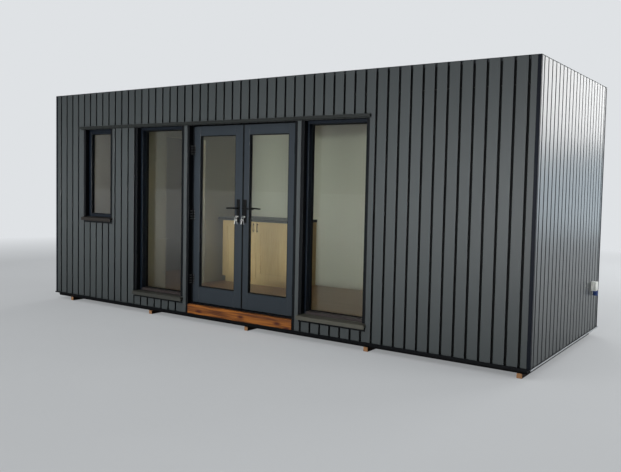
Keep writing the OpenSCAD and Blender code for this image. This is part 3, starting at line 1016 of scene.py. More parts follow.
@dataclass
class Cladding:
    """The upright boards on all four sides, with dark gaps between them.

    Attributes:
        pitch: The distance from one gap to the next.
        gap: The width of a gap.
        front_start: The first gap on the front and back, from the left end.
        side_start: The first gap on an end, from the front boards.
        ease: The rounding of a board's edges.
        sliver: A strip of board narrower than this beside an opening is left out.
        clearance: The gap between the wide board and the door's jamb.
        past: How far a saw cut runs beyond the boards.
    """

    pitch: float = 120 * MM
    gap: float = 22 * MM
    front_start: float = 105 * MM
    side_start: float = 91 * MM
    ease: float = 2.5 * MM
    sliver: float = 8 * MM
    clearance: float = 3 * MM
    past: float = 1.0

    def row(self, word: str, run: Axis, start: float) -> Object:
        """Builds a full row of boards.

        Args:
            word: The wall that it covers.
            run: The axis that the boards follow one another along.
            start: The middle of the first gap on that axis.

        Returns:
            The row as one object.
        """
        low, high = corners(f"{word}_cladding")
        i, half = run.value, self.gap / 2
        count = int((high[i] - start) // self.pitch)
        last = start + count * self.pitch + half
        boards = []
        for a, b in ((start + half, start + self.pitch - half), (low[i], start - half), (last, high[i])):
            if b - a > self.ease * 4:
                foot, top = low.copy(), high.copy()
                foot[i], top[i] = a, b
                boards.append(add_block("board", foot, top, self.ease))
        shift = {"use_constant_offset": True, "constant_offset_displace": run.cell(0.0, self.pitch)}
        apply_modifier(boards[0], "ARRAY", count=count, use_relative_offset=False, **shift)
        return join(f"{word}_boards", boards)

    def front(self, start: float) -> Object:
        """Builds the front row, sawn round the openings, with the wide board beside the door.

        Args:
            start: The middle of the first gap.

        Returns:
            The row as one object.
        """
        low, high = corners("front_cladding")
        boards = self.row("front", Axis.X, start)
        y0, y1 = low.y - self.past, high.y + self.past
        holes = []
        for word in ("small", "right", "left"):
            a, b = corners(f"{word}_window_frame")
            holes.append(((a.x - self.sliver, y0, a.z), (b.x, y1, b.z)))
        a, b = corners("left_window_frame")
        jamb_low, jamb_high = corners("door_jambs")
        edge = start + math.floor((b.x - start) / self.pitch) * self.pitch
        holes.insert(2, ((edge, y0, low.z - self.past), (jamb_high.x, y1, jamb_high.z)))
        cut_away(boards, holes)
        top = (jamb_low.x - self.clearance, high.y, jamb_high.z)
        beside = add_block("beside", (edge + self.gap / 2, low.y, low.z), top, self.ease)
        cut_away(beside, [((a.x, y0, a.z), (b.x, y1, high.z))])
        return join("front_boards", [boards, beside])

    def build(self) -> None:
        """Builds and dresses the four rows."""
        low = corners("front_cladding")[0]
        across, along = low.x + self.front_start, low.y + self.side_start
        # Satin slate paint: an even dark grey, so that the black gaps are what the eye reads first
        paint = BoardPaint(
            "slate_painted_boards", "painted_boards", "383d3e", 0.4, specular=0.3, start=across, face=-low.y
        )
        # The end boards' grey is a little lighter than the front's: painted light on the same paint
        end_paint = BoardPaint(
            "slate_painted_end_boards",
            "painted_boards",
            "3d4243",
            0.34,
            run=Axis.Y,
            start=along,
            face=-corners("left_cladding")[0].x,
        )
        hand_over(self.front(across), paint, "front_cladding")
        hand_over(self.row("back", Axis.X, across), paint, "back_cladding")
        for word in ("left", "right"):
            hand_over(self.row(word, Axis.Y, along), end_paint, f"{word}_cladding")


@dataclass
class Shell:
    """The walls, roof, floor and partition: room surfaces, and the dark ground behind the boards.

    Attributes:
        lining: The thickness of the lining on the room side of a wall.
        paint: The thickness of the paint on the ceiling.
        plank: The length and width of a floor board.
        plank_rise: The thickness of a floor board.
        joint: The width of a joint between floor boards.
        seam: The width and thickness of a seam in the roof sheet.
        margin: How far a seam stops short of the sheet's edge.
    """

    lining: float = 15 * MM
    paint: float = 0.5 * MM
    plank: Span = (1290 * MM, 192 * MM)
    plank_rise: float = 4 * MM
    joint: float = 0.6 * MM
    seam: Span = (45 * MM, 2 * MM)
    margin: float = 50 * MM

    def dress_walls(self) -> None:
        """Gives each wall panel its lining and its membrane."""
        # Warm emulsion inside and black membrane outside: a pale room, and gaps that stay dark
        front = [f"front_wall_{part}" for part in ("panels", "posts", "under_windows", "lintel")]
        rows = (
            ("front_wall", front, Axis.Y, -1, self.lining, LINING_TONE),
            ("back_wall", ["back_wall"], Axis.Y, 1, self.lining, LINING_TONE),
            ("left_wall", ["left_wall"], Axis.X, -1, self.lining, LINING_TONE),
            ("right_wall", ["right_wall"], Axis.X, 1, self.lining, LINING_TONE),
            ("ceiling", ["roof_panel"], Axis.Z, 1, self.paint, CEILING_TONE),
        )
        for word, nodes, across, outer, depth, tone in rows:
            limit = corners(nodes[0])[0 if outer > 0 else 1][across.value] + outer * depth
            change = {"across": across, "limit": limit, "outer": outer}
            skin = WallSkin(f"{word}_skin", "", tone, 0.6, specular=0.1, **change)
            for node in nodes:
                dress_node(node, skin)
        dress_node("partition_wall", SHADED_PARTITION_PAINT)

    def floor_boards(self) -> Object:
        """Builds the floor boards in staggered rows inside the walls.

        Returns:
            The boards as one object.
        """
        low, high = corners("floor_panel")
        length, width = self.plank
        boards = []
        for row in range(int((high.y - low.y) / width) + 1):
            y0 = low.y + row * width
            y1 = min(y0 + width - self.joint, high.y)
            start, end = low.x, low.x + length * (0.35 + 0.3 * (row % 3))
            while start < high.x - 1 * MM:
                end = min(end, high.x)
                top = (end - self.joint, y1, high.z + self.plank_rise)
                boards.append(add_block("board", (start, y0, high.z), top))
                start, end = end, end + length
        return ease_edges(join("floor_boards", boards), 0.8 * MM, 1)

    def roof_seams(self) -> Object:
        """Builds the lapped seams of the roof sheet.

        Returns:
            The seams as one object.
        """
        low, high = corners("roof_membrane")
        half, rise = self.seam[0] / 2, self.seam[1]
        strips = []
        for share in (0.25, 0.5, 0.75):
            x = low.x + share * (high.x - low.x)
            foot = (x - half, low.y + self.margin, high.z)
            strips.append(add_block("seam", foot, (x + half, high.y - self.margin, high.z + rise)))
        return ease_edges(join("roof_seams", strips), 1 * MM)

    def build(self) -> None:
        """Builds and dresses the shell."""
        self.dress_walls()
        dress_node("floor_panel", FLOOR_OAK)
        hand_over(self.floor_boards(), FLOOR_OAK)
        dress_node("roof_membrane", ROOF_RUBBER)
        hand_over(self.roof_seams(), ROOF_RUBBER)


@dataclass
class Trims:
    """Folded and planed trims that keep the frame's shape, with their edges eased.

    Attributes:
        fold: The rounding of a folded sheet's edge.
        planed: The rounding of a planed timber's edge.
        beam: The rounding of a beam's edge.
        strip: The height and thickness of the black strip of painted shadow in sight under a sill.
        tuck: How far a strip runs up behind its sill.
        horn: A length a little more than a sill runs past its window's frame.
    """

    fold: float = 1.2 * MM
    planed: float = 2 * MM
    beam: float = 3 * MM
    strip: Span = (26 * MM, 3 * MM)
    tuck: float = 12 * MM
    horn: float = 50 * MM

    def sills(self) -> None:
        """Makes the three sills, the small window's darker and the right window's paler; the right one's
        paler paint is painted light.
        """
        sills = eased_copy("window_sills", "planed_window_sills", self.planed)
        self.under_sills(sills)
        for word, finish in (("small", DARK_SILL_COAT), ("right", LIT_RIGHT_SILL_COAT)):
            low, high = corners(f"{word}_window_frame")
            a, b = low.x - self.horn, high.x + self.horn
            with edit(sills, "FACE", lambda face: a < face.center.x < b):
                bpy.ops.mesh.separate(type="SELECTED")
            sill = next(obj for obj in bpy.context.selected_objects if obj is not sills)
            hand_over(join(f"{word}_window_sill", [sill]), finish)
        hand_over(sills, SILL_COAT, "window_sills")

    def under_sills(self, sills: Object) -> None:
        """Adds black strips of painted shadow where the sills' shadow falls on the boards below them.

        Args:
            sills: The three sills as one object.
        """
        strips = []
        face = corners("front_cladding")[0].y
        height, thickness = self.strip
        for word in ("small", "left", "right"):
            low, high = corners(f"{word}_window_frame")
            nose = min(v.co.z for v in sills.data.vertices if low.x < v.co.x - self.horn < high.x)
            foot = (low.x, face - thickness, nose - height)
            strips.append(add_block("strip", foot, (high.x, face + 1 * MM, nose + self.tuck)))
        hand_over(join("strips_under_sills", strips), BLACK_TRIM_AND_SHADE)

    def refine(self, *rows: tuple[str, str, Finish, float]) -> None:
        """Puts eased copies in the nodes' places, from rows of node, name, finish and rounding."""
        for node, name, finish, ease in rows:
            hand_over(eased_copy(node, name, ease), finish, node)

    def build(self) -> None:
        """Builds and dresses the trims."""
        self.refine(
            ("corner_trims", "folded_corner_trims", CORNER_COAT, self.fold),
            ("base_flashing", "folded_base_flashing", BASE_FLASHING_SHEET, self.fold),
            ("head_flashing", "folded_head_flashing", FLASHING_COAT, self.fold),
            ("roof_edge_trim", "folded_roof_edge", EDGE_COAT, self.fold * 2),
            ("opening_trims", "planed_opening_trims", BLACK_TRIM_AND_SHADE, self.planed),
        )
        self.sills()
        self.refine(
            # The door's head and jambs are black: dark trim, deepened as painted shade under the head
            # flashing and in the reveals
            ("door_jambs", "planed_door_jambs", BLACK_TRIM_AND_SHADE, self.planed),
            ("door_head", "planed_door_head", BLACK_TRIM_AND_SHADE, self.planed),
            ("door_threshold", "planed_threshold", BLACK_TRIM_AND_SHADE, self.planed),
            ("doorstep_beam", "step_timber", STEP_WOOD, self.planed * 2),
            ("bearers", "bearer_timbers", BEARER_WOOD, self.beam),
            ("base_long_beams", "front_and_back_base_beams", BASE_WOOD, self.beam),
            ("base_end_beams", "end_base_beams", BASE_WOOD, self.beam),
        )


@dataclass
class Windows:
    """The two tall fixed windows and the small opening one.

    Attributes:
        ease: The rounding of a frame's edges; the sash has twice as much.
        bead: The width and depth of the bead before a tall pane.
        small_bead: The width and depth of the bead before the small pane.
    """

    ease: float = 2 * MM
    bead: Span = (9 * MM, 26 * MM)
    small_bead: Span = (7 * MM, 14 * MM)

    def pane(self, word: str) -> tuple[Vector, Vector]:
        """Finds a window's pane of glass.

        Args:
            word: The window.

        Returns:
            The pane's lowest and highest corner.
        """
        low, high = corners(f"{word}_window_frame")
        points = [v.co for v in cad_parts["window_glass"].data.vertices if low.x <= v.co.x <= high.x]
        low, high = (Vector([extreme(p[i] for p in points) for i in range(3)]) for extreme in (min, max))
        return low, high

    def hold(self, word: str, pane: tuple[Vector, Vector], bead: Span) -> None:
        """Builds the bead of a width and depth that holds a window's pane; its black is partly painted shade
        of the recess round the pane.
        """
        front = pane[0].y
        hand_over(add_bead(f"{word}_window_bead", pane, (front - bead[1], front), bead[0]), GASKET_AND_SHADE)

    def build(self) -> None:
        """Builds the windows and dresses their glass."""
        for word in ("left", "right"):
            node, pane = f"{word}_window_frame", self.pane(word)
            *members, rail = frame_members(corners(node), pane)
            hand_over(join(f"{word}_window_members", members, self.ease), FRAME_PAINT, node)
            hand_over(join(f"{word}_window_bottom_rail", [rail], self.ease), BOTTOM_RAIL_PAINT)
            self.hold(word, pane, self.bead)
        outer = frame_members(corners("small_window_frame"), corners("small_window_sash"))
        hand_over(join("small_window_members", outer, self.ease), FRAME_PAINT, "small_window_frame")
        pane = self.pane("small")
        sash = frame_members(corners("small_window_sash"), pane)
        hand_over(join("small_sash_members", sash, self.ease * 2), FRAME_PAINT, "small_window_sash")
        self.hold("small", pane, self.small_bead)
        dress_node("window_glass", GLASS)


# How far a hinge's screws lie above its middle, in millimetres
HINGE_SCREWS = (-45, -16, 16, 45)
# The radius and rise of a hinge screw's head
SCREW = (3.4 * MM, 1 * MM)


def hinge_heights() -> list[float]:
    """Finds the middle height of each hinge of the door from the frame.

    Returns:
        The heights, from the lowest up.
    """
    groups: list[list[float]] = []
    for z in sorted({round(v.co.z, 4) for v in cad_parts["left_leaf_hinges"].data.vertices}):
        if not groups or z - groups[-1][-1] > 200 * MM:
            groups.append([])
        groups[-1].append(z)
    return [(group[0] + group[-1]) / 2 for group in groups]


def screw_head(place: Point, out: Point) -> Object:
    """Builds the head of one screw in a hinge, which faces the given way."""
    start = Vector(place)
    return add_rod("screw", start, start + Vector(out) * SCREW[1], SCREW[0], 16, 0.4 * MM, 1)


@dataclass
class DoorLeaf:
    """One leaf of the double door with its glass, gaskets, lock furniture and hinge plates.

    Attributes:
        side: Which leaf it is.
        ease: The rounding of the leaf's edges.
        slant: How far the meeting edge slants back towards the room.
        bead: The width and depth of the gaskets on both faces of the glass.
        seal: How much of the meeting edge's face its seal covers as painted shade, on the left and on the
            right leaf.
        lip: How far the seal stands out past the meeting edge.
        proud: How far the seal stands out from the leaf's face.
        seal_depth: How far the seal runs back along the meeting edge.
        short: How far the seal stops short of the leaf's ends.
        rounding: The radius of a backplate's corners.
        collar: The radius and rise of the ring round a lever's neck.
        head: The radius and rise of a backplate's screw.
        screw_inset: The distance from a backplate's end to its screw.
        neck: The radius of a lever's neck.
        sink: How far a neck reaches in from the face of its backplate.
        hub: The radius of a lever's hub.
        grip_depth: How thick a grip is.
        half: Half the height of a grip.
        drop: How far the spindle lies below the top of the levers.
        taper: How the grip narrows from step to step along X, Y and Z.
        hinge_screws: The distance from the leaf's edge to the screws of its hinges.
        plate: The thickness of a hinge's plate.
        hole: How far the hole in a key's bow lies from its outer end.
        key_ring: The radius of the key ring and of its wire.
    """

    side: Side
    ease: float = 2.5 * MM
    slant: float = 5 * MM
    bead: Span = (9 * MM, 12 * MM)
    seal: Span = (2.5 * MM, 9 * MM)
    lip: float = 1.5 * MM
    proud: float = 0.4 * MM
    seal_depth: float = 16 * MM
    short: float = 2 * MM
    rounding: float = 7 * MM
    collar: Span = (14 * MM, 4 * MM)
    head: Span = (4 * MM, 1.2 * MM)
    screw_inset: float = 16 * MM
    neck: float = 8.8 * MM
    sink: float = 6 * MM
    hub: float = 10.4 * MM
    grip_depth: float = 10 * MM
    half: float = 9.4 * MM
    drop: float = 10.5 * MM
    taper: Point = (1, 0.96, 0.93)
    hinge_screws: float = 15 * MM
    plate: float = 3 * MM
    hole: float = 6.5 * MM
    key_ring: Span = (15 * MM, 1.3 * MM)

    def fit(self, piece: Object, finish: Finish, *instead_of: str) -> None:
        """Hands over a piece that moves with the leaf."""
        hand_over(piece, finish, *instead_of, body=self.side.body)

    def members(self) -> None:
        """Builds the leaf's uprights and rails, with a slanting meeting edge, and its glass and gaskets."""
        word = self.side.word
        low, high = corners(f"{word}_leaf")
        a, b = pane = corners(f"{word}_leaf_glass")
        parts = frame_members((low, high), pane)
        edge = self.side.edges("leaf")[0]
        for vertex in parts[1 if self.side is Side.LEFT else 0].data.vertices:
            if abs(vertex.co.x - edge) < NEAR and abs(vertex.co.y - high.y) < NEAR:
                vertex.co.x += self.side.value * self.slant
        self.fit(join(f"{word}_leaf_members", parts, self.ease), DOOR_PAINT, f"{word}_leaf")
        self.seal_edge(low, high)
        dress_node(f"{word}_leaf_glass", GLASS)
        # The black gaskets are partly painted shade along the glass's edges
        for name, ends in (("outer", (a.y - self.bead[1], a.y)), ("inner", (b.y, b.y + self.bead[1]))):
            self.fit(add_bead(f"{word}_{name}_gasket", pane, ends, self.bead[0]), GASKET_AND_SHADE)

    def seal_edge(self, low: Vector, high: Vector) -> None:
        """Lays a thin black rubber seal along the meeting edge and over the rounded edge of the face: painted
        shade of the gap between the leaves, which leaves the gap open.

        Args:
            low: The leaf's lowest corner.
            high: The leaf's highest corner.
        """
        edge, way = self.side.edges("leaf")[0], self.side.value
        cover = self.seal[0 if self.side is Side.LEFT else 1]
        x0, x1 = sorted((edge + way * cover, edge - way * self.lip))
        start = (x0, low.y - self.proud, low.z + self.short)
        end = (x1, low.y + self.seal_depth, high.z - self.short)
        strip = add_block(f"{self.side.word}_meeting_seal", start, end, 0.6 * MM)
        self.fit(strip, GASKET_AND_SHADE)

    def plates(self) -> None:
        """Builds the two backplates, each with a rounded outline, a raised neck ring and two screws."""
        word = self.side.word
        node = f"{word}_handle_plates"
        low, high = corners(node)
        leaf_low, leaf_high = corners(f"{word}_leaf")
        centre, spindle = self.axis()
        made, heads = [], []
        for y0, y1, face, out in ((low.y, leaf_low.y, low.y, -1), (leaf_high.y, high.y, high.y, 1)):
            plate = add_block("plate", (low.x, y0, low.z), (high.x, y1, high.z))
            with edit(plate, "EDGE", lambda edge: self.runs_through(plate, edge)):
                bpy.ops.mesh.bevel(offset=self.rounding, segments=6, affect="EDGES")
            made.append(ease_edges(plate, 1.5 * MM, 3))
            radius, rise = self.collar
            ends = (centre, face, spindle), (centre, face + out * rise, spindle)
            made.append(add_rod("collar", *ends, radius, ease=1.2 * MM))
            radius, rise = self.head
            for z in (low.z + self.screw_inset, high.z - self.screw_inset):
                ends = (centre, face, z), (centre, face + out * rise, z)
                heads.append(add_rod("head", *ends, radius, 20, 0.5 * MM))
        self.fit(smooth(join(f"{word}_backplates", made)), BLACK_HARDWARE, node)
        self.fit(smooth(join(f"{word}_backplate_screws", heads)), BLACK_HARDWARE)

    def runs_through(self, plate: Object, edge: Any) -> bool:
        """Says whether an edge of a plate runs from its face to its back."""
        a, b = (plate.data.vertices[i].co for i in edge.vertices)
        return abs(a.y - b.y) > NEAR

    def axis(self) -> Span:
        """Gives the X and the height of the levers' spindle."""
        low, high = corners(f"{self.side.word}_handle_plates")
        return (low.x + high.x) / 2, corners(f"{self.side.word}_lever")[1].z - self.drop

    def lever(self) -> None:
        """Builds the two levers: a round neck, a hub, and a grip that bends and thins towards its end."""
        word = self.side.word
        low, high = corners(f"{word}_lever")
        plate_low, plate_high = corners(f"{word}_handle_plates")
        x, z = self.axis()
        made = []
        for y0, y1, out in ((low.y, plate_low.y, -1), (high.y, plate_high.y, 1)):
            inner = y0 - out * self.grip_depth
            made.append(add_rod("neck", (x, y1 - out * self.sink, z), (x, inner, z), self.neck))
            made.append(add_rod("hub", (x, inner, z), (x, y0, z), self.hub, ease=2 * MM, strips=3))
            made.append(self.grip(sorted((inner, y0)), out))
        pair = smooth(join(f"{word}_lever_pair", made), 50)
        hand_over(pair, BLACK_HARDWARE, f"{word}_lever", body=f"{word}_door_lever")

    def grip(self, depth: Sequence[float], out: int) -> Object:
        """Builds one grip from a block that is extruded four times, each time a little thinner and turned in.

        Args:
            depth: Its nearer and farther face along Y.
            out: -1 on the outer face of the door, 1 on the inner face.

        Returns:
            The grip.
        """
        centre, z = self.axis()
        reach = (self.side.edges("lever")[1] - centre) / 5
        x0, x1 = sorted((centre, centre + reach))
        bar = add_block("grip", (x0, depth[0], z - self.half), (x1, depth[1], z + self.half))
        for step in range(1, 5):
            front = centre + reach * step
            shift = (reach, -out * 0.6 * step * MM, -0.4 * step * MM)
            middle = (front + reach, sum(depth) / 2 - out * step * MM, z)
            with edit(bar, test=lambda face: abs(face.center.x - front) < NEAR):
                bpy.ops.mesh.extrude_region_move(TRANSFORM_OT_translate={"value": shift})
                bpy.ops.transform.resize(value=self.taper, center_override=middle)
        return ease_edges(bar, 3.4 * MM, 4)

    def hinge_plates(self) -> None:
        """Builds the leaf's half of each hinge, with the screws of its plate."""
        word, way = self.side.word, self.side.value
        node = f"{word}_leaf_hinges"
        halves = eased_copy(node, f"{word}_leaf_hinge_halves", 0.5 * MM, 1)
        self.fit(smooth(halves), BLACK_HARDWARE, node)
        x = self.side.edges("leaf")[1] - way * self.hinge_screws
        face = corners(f"{word}_leaf")[0].y - self.plate
        made = []
        for height in hinge_heights():
            for rise in HINGE_SCREWS:
                made.append(screw_head((x, face, height + rise * MM), (0, -1, 0)))
        self.fit(smooth(join(f"{word}_hinge_screws", made)), NICKEL)

    def lock(self) -> None:
        """Dresses the cylinder and its key, and hangs a ring with two more keys through the key's bow."""
        word, radius = self.side.word, self.key_ring[0]
        dress_node(f"{word}_key", NICKEL)
        low, high = corners(f"{word}_key")
        hole = Vector(((low.x + high.x) / 2, low.y + self.hole, (low.z + high.z) / 2))
        drop = Vector((0, 0, radius))
        made = [add_torus("key_ring", hole - drop, (math.radians(90), 0, 0), self.key_ring)]
        slip = math.radians(30)
        for way in (-1, 1):
            hang = Vector((way * math.sin(slip), 0, -1 - math.cos(slip))) * radius
            made.extend(self.spare_key(hole + hang, way))
        self.fit(smooth(join(f"{word}_key_bunch", made)), NICKEL)

    def spare_key(self, top: Vector, way: int) -> list[Object]:
        """Builds one flat key that hangs down and a little outwards: a bow, a blade and three teeth.

        Args:
            top: Where the ring's wire passes through the bow.
            way: -1 for the key on the left of the ring, 1 for the one on its right.

        Returns:
            The key's parts.
        """
        turn = way * math.radians(55)
        bow = top - Vector((0, 0, 9 * MM))
        parts = [add_torus("spare_bow", bow, (0, math.radians(90), turn), (10 * MM, 2.4 * MM))]
        side = Vector((-math.sin(turn), math.cos(turn), 0))
        # Place beside and below the bow, width and height of the blade and of each tooth, in millimetres
        for along, drop, width, height in ((0, 28, 8, 38), (4.5, 30, 3, 4), (4.5, 37, 4, 4), (4.5, 44, 3, 3)):
            middle = bow + side * along * MM - Vector((0, 0, drop * MM))
            half = Vector((2.2, width, height)) * MM / 2
            parts.append(add_block("spare_blade", middle - half, middle + half, 0.4 * MM, 1, turn))
        swing = Matrix.Rotation(-way * math.radians(14), 4, "Y")
        for part in parts:
            part.data.transform(Matrix.Translation(top) @ swing @ Matrix.Translation(-top))
        return parts

    def build(self) -> None:
        """Builds the whole leaf."""
        self.members()
        self.plates()
        self.lever()
        self.hinge_plates()
        self.lock()


@dataclass
class FixedHinges:
    """The frame's half of the six hinges, with the screws in the trim strips.

    Attributes:
        inset: How far the screws sit inside the hinges' outer faces.
        rows: How far the two rows of screws lie behind the hinges' front.
    """

    inset: float = 3 * MM
    rows: Span = (12 * MM, 28 * MM)

    def build(self) -> None:
        """Builds the hinge halves and their screws."""
        halves = eased_copy("frame_hinges", "frame_hinge_halves", 0.5 * MM, 1)
        hand_over(smooth(halves), BLACK_HARDWARE, "frame_hinges")
        low, high = corners("frame_hinges")
        made = []
        for height in hinge_heights():
            for rise in HINGE_SCREWS:
                for x, out in ((low.x + self.inset, 1), (high.x - self.inset, -1)):
                    for row in self.rows:
                        made.append(screw_head((x, low.y + row, height + rise * MM), (out, 0, 0)))
        hand_over(smooth(join("frame_hinge_screws", made)), NICKEL)


@dataclass
class Kitchen:
    """The kitchen unit that shows through the doors: framed fronts, bar handles and a dark worktop.

    Attributes:
        rail: The width of a front's frame.
        recess: How deep a front's panel lies in its frame.
        lap: How far a panel sinks into its frame.
        gap: Half the gap between the fronts.
        handle: The length and radius of a bar handle.
        edge: The distance from a bar handle to the edge of its front.
        drop: The distance from a bar handle to the top of its front.
        reach: How far a bar handle stands out.
        stem: The distance from a bar handle's end to its stem.
    """

    rail: float = 80 * MM
    recess: float = 8 * MM
    lap: float = 2 * MM
    gap: float = 1.5 * MM
    handle: Span = (128 * MM, 5.5 * MM)
    edge: float = 32 * MM
    drop: float = 16 * MM
    reach: float = 26 * MM
    stem: float = 18 * MM

    def fronts(self) -> None:
        """Builds the two fronts with their handles, which meet in the middle of the unit."""
        low, high = corners("kitchen_fronts")
        middle = (low.x + high.x) / 2
        inset, lap = Vector((self.rail, 0, self.rail)), Vector((self.lap, 0, self.lap))
        y, top = low.y - self.reach, high.z - self.drop
        bottom = top - self.handle[0]
        made, bars = [], []
        for x0, x1, side in ((low.x, middle - self.gap, 1), (middle + self.gap, high.x, -1)):
            a, b = Vector((x0, low.y, low.z)), Vector((x1, high.y, high.z))
            made.append(join("front_frame", frame_members((a, b), (a + inset, b - inset)), 1.5 * MM))
            behind = Vector((0, self.recess, 0))
            made.append(add_block("front_panel", a + inset - lap + behind, b - inset + lap))
            x = (x1 if side > 0 else x0) - side * self.edge
            bars.append(add_rod("bar", (x, y, bottom), (x, y, top), self.handle[1], 20))
            for z in (bottom + self.stem, top - self.stem):
                bars.append(add_rod("stem", (x, y, z), (x, low.y, z), self.handle[1] * 0.8, 16))
        hand_over(join("framed_cabinet_fronts", made), CABINET, "kitchen_fronts")
        hand_over(smooth(ease_edges(join("cabinet_handles", bars), 1 * MM)), BLACK_HARDWARE)

    def build(self) -> None:
        """Builds the unit."""
        self.fronts()
        dress_node("kitchen_cabinet", CABINET)
        hand_over(eased_copy("kitchen_worktop", "rolled_edge_worktop", 4 * MM, 3), WORKTOP, "kitchen_worktop")


@dataclass
class PowerInlet:
    """The weatherproof inlet on the right end: a white box with a lid, and a blue socket with a flap.

    Attributes:
        back: The share of the box's depth that its back shell takes.
        joint: The width of the joint between back shell and lid.
        seal: How far the seal lies inside the box's outline.
        screw_inset: The distance from the lid's edges to its screws.
        barrel: How much thinner than its collar the socket's barrel is.
        flap: The thickness of the flap.
        knuckle: Half the length, and the radius, of the flap's hinge.
    """

    back: float = 0.45
    joint: float = 0.8 * MM
    seal: float = 2 * MM
    screw_inset: float = 12 * MM
    barrel: float = 4 * MM
    flap: float = 9 * MM
    knuckle: Span = (9 * MM, 3.5 * MM)

    def box(self) -> None:
        """Builds the box in two shells that meet at a fine joint, with four screws in the lid."""
        low, high = corners("inlet_box")
        split = low.x + self.back * (high.x - low.x)
        parts = [
            add_block("box_back", low, (split, high.y, high.z), 2 * MM),
            add_block("box_lid", (split + self.joint, low.y, low.z), high, 6 * MM, 4),
            add_block(
                "box_seal",
                (split - self.seal, low.y + self.seal, low.z + self.seal),
                (split + 3 * MM, high.y - self.seal, high.z - self.seal),
            ),
        ]
        for y in (low.y + self.screw_inset, high.y - self.screw_inset):
            for z in (low.z + self.screw_inset, high.z - self.screw_inset):
                ends = (high.x - 1 * MM, y, z), (high.x - 0.2 * MM, y, z)
                parts.append(add_rod("screw", *ends, 4 * MM, 16, 0.3 * MM, 1))
        hand_over(smooth(join("inlet_housing", parts)), WHITE_PLASTIC, "inlet_box")

    def socket(self) -> None:
        """Builds the socket's barrel, its collar and the hinged flap over its mouth."""
        low, high = corners("inlet_socket")
        x, y = (low.x + high.x) / 2, (low.y + high.y) / 2
        radius, mouth = (high.x - low.x) / 2, low.z + 8 * MM
        half, thick = self.knuckle
        hinge = (x - half, low.y + 1 * MM, mouth), (x + half, low.y + 1 * MM, mouth)
        parts = [
            add_rod("barrel", (x, y, mouth), (x, y, high.z), radius - self.barrel, 40, 1 * MM),
            add_rod("collar", (x, y, high.z - 10 * MM), (x, y, high.z), radius, 40, 2 * MM),
            add_rod("flap", (x, y, low.z), (x, y, low.z + self.flap), radius, 40, 2.5 * MM, 3),
            add_rod("knuckle", *hinge, thick, 16),
        ]
        hand_over(smooth(join("inlet_plug_socket", parts)), BLUE_PLASTIC, "inlet_socket")

    def build(self) -> None:
        """Builds the inlet."""
        self.box()
        self.socket()


@dataclass
class Lamp:
    """A soft rectangular lamp.

    Attributes:
        name: Its name.
        place: Where it hangs.
        aim: What it points at.
        size: Its width and height.
        power: Its power in watts.
        colour: The colour of its light.
        spread: How far its light fans out, in degrees.
        hidden: Whether the camera and mirror images leave it out.
    """

    name: str
    place: Point
    aim: Point
    size: Span
    power: float
    colour: Point = (1.0, 1.0, 1.0)
    spread: float = 180.0
    hidden: bool = False

    def hang(self) -> None:
        """Adds the lamp to the scene."""
        data = bpy.data.lights.new(self.name, "AREA")
        data.shape = "RECTANGLE"
        data.size, data.size_y = self.size
        data.energy, data.color = self.power, self.colour
        data.spread = math.radians(self.spread)
        lamp = bpy.data.objects.new(self.name, data)
        lamp.location = self.place
        lamp.rotation_euler = (Vector(self.aim) - Vector(self.place)).to_track_quat("-Z", "Y").to_euler()
        if self.hidden:
            lamp.visible_camera = lamp.visible_glossy = False
        bpy.context.scene.collection.objects.link(lamp)


LAMPS = (
    Lamp("soft_box", (-1.0, -9.5, 9.5), (-0.3, -1.0, 0.8), (10.0, 7.0), 330.0),
    Lamp("front_panel", (-1.3, -13.0, 1.4), (-1.3, -1.2, 1.4), (10.6, 0.6), 72.0, spread=24.0),
    Lamp("end_light", (6.5, 9.5, 4.5), (3.3, 0.2, 1.6), (6.0, 4.0), 335.0),
    Lamp("low_end_light", (6.5, 9.5, 1.5), (3.3, 0.2, 1.4), (6.0, 1.8), 55.0, colour=(0.72, 0.88, 1.0)),
    Lamp("side_light", (11.0, 2.2, 3.2), (3.4, 0.2, 0.9), (4.5, 3.0), 260.0),
    Lamp("back_fill", (-4.0, 12.0, 7.0), (-0.5, 1.2, 1.2), (8.0, 5.0), 420.0),
    Lamp("room_light", (1.6, -0.9, 2.1), (1.6, 1.0, 2.0), (3.2, 0.9), 1.2, hidden=True),
    Lamp("left_room_light", (-2.5, -0.9, 1.8), (-2.5, 1.0, 1.7), (1.4, 1.0), 1.8, hidden=True),
)


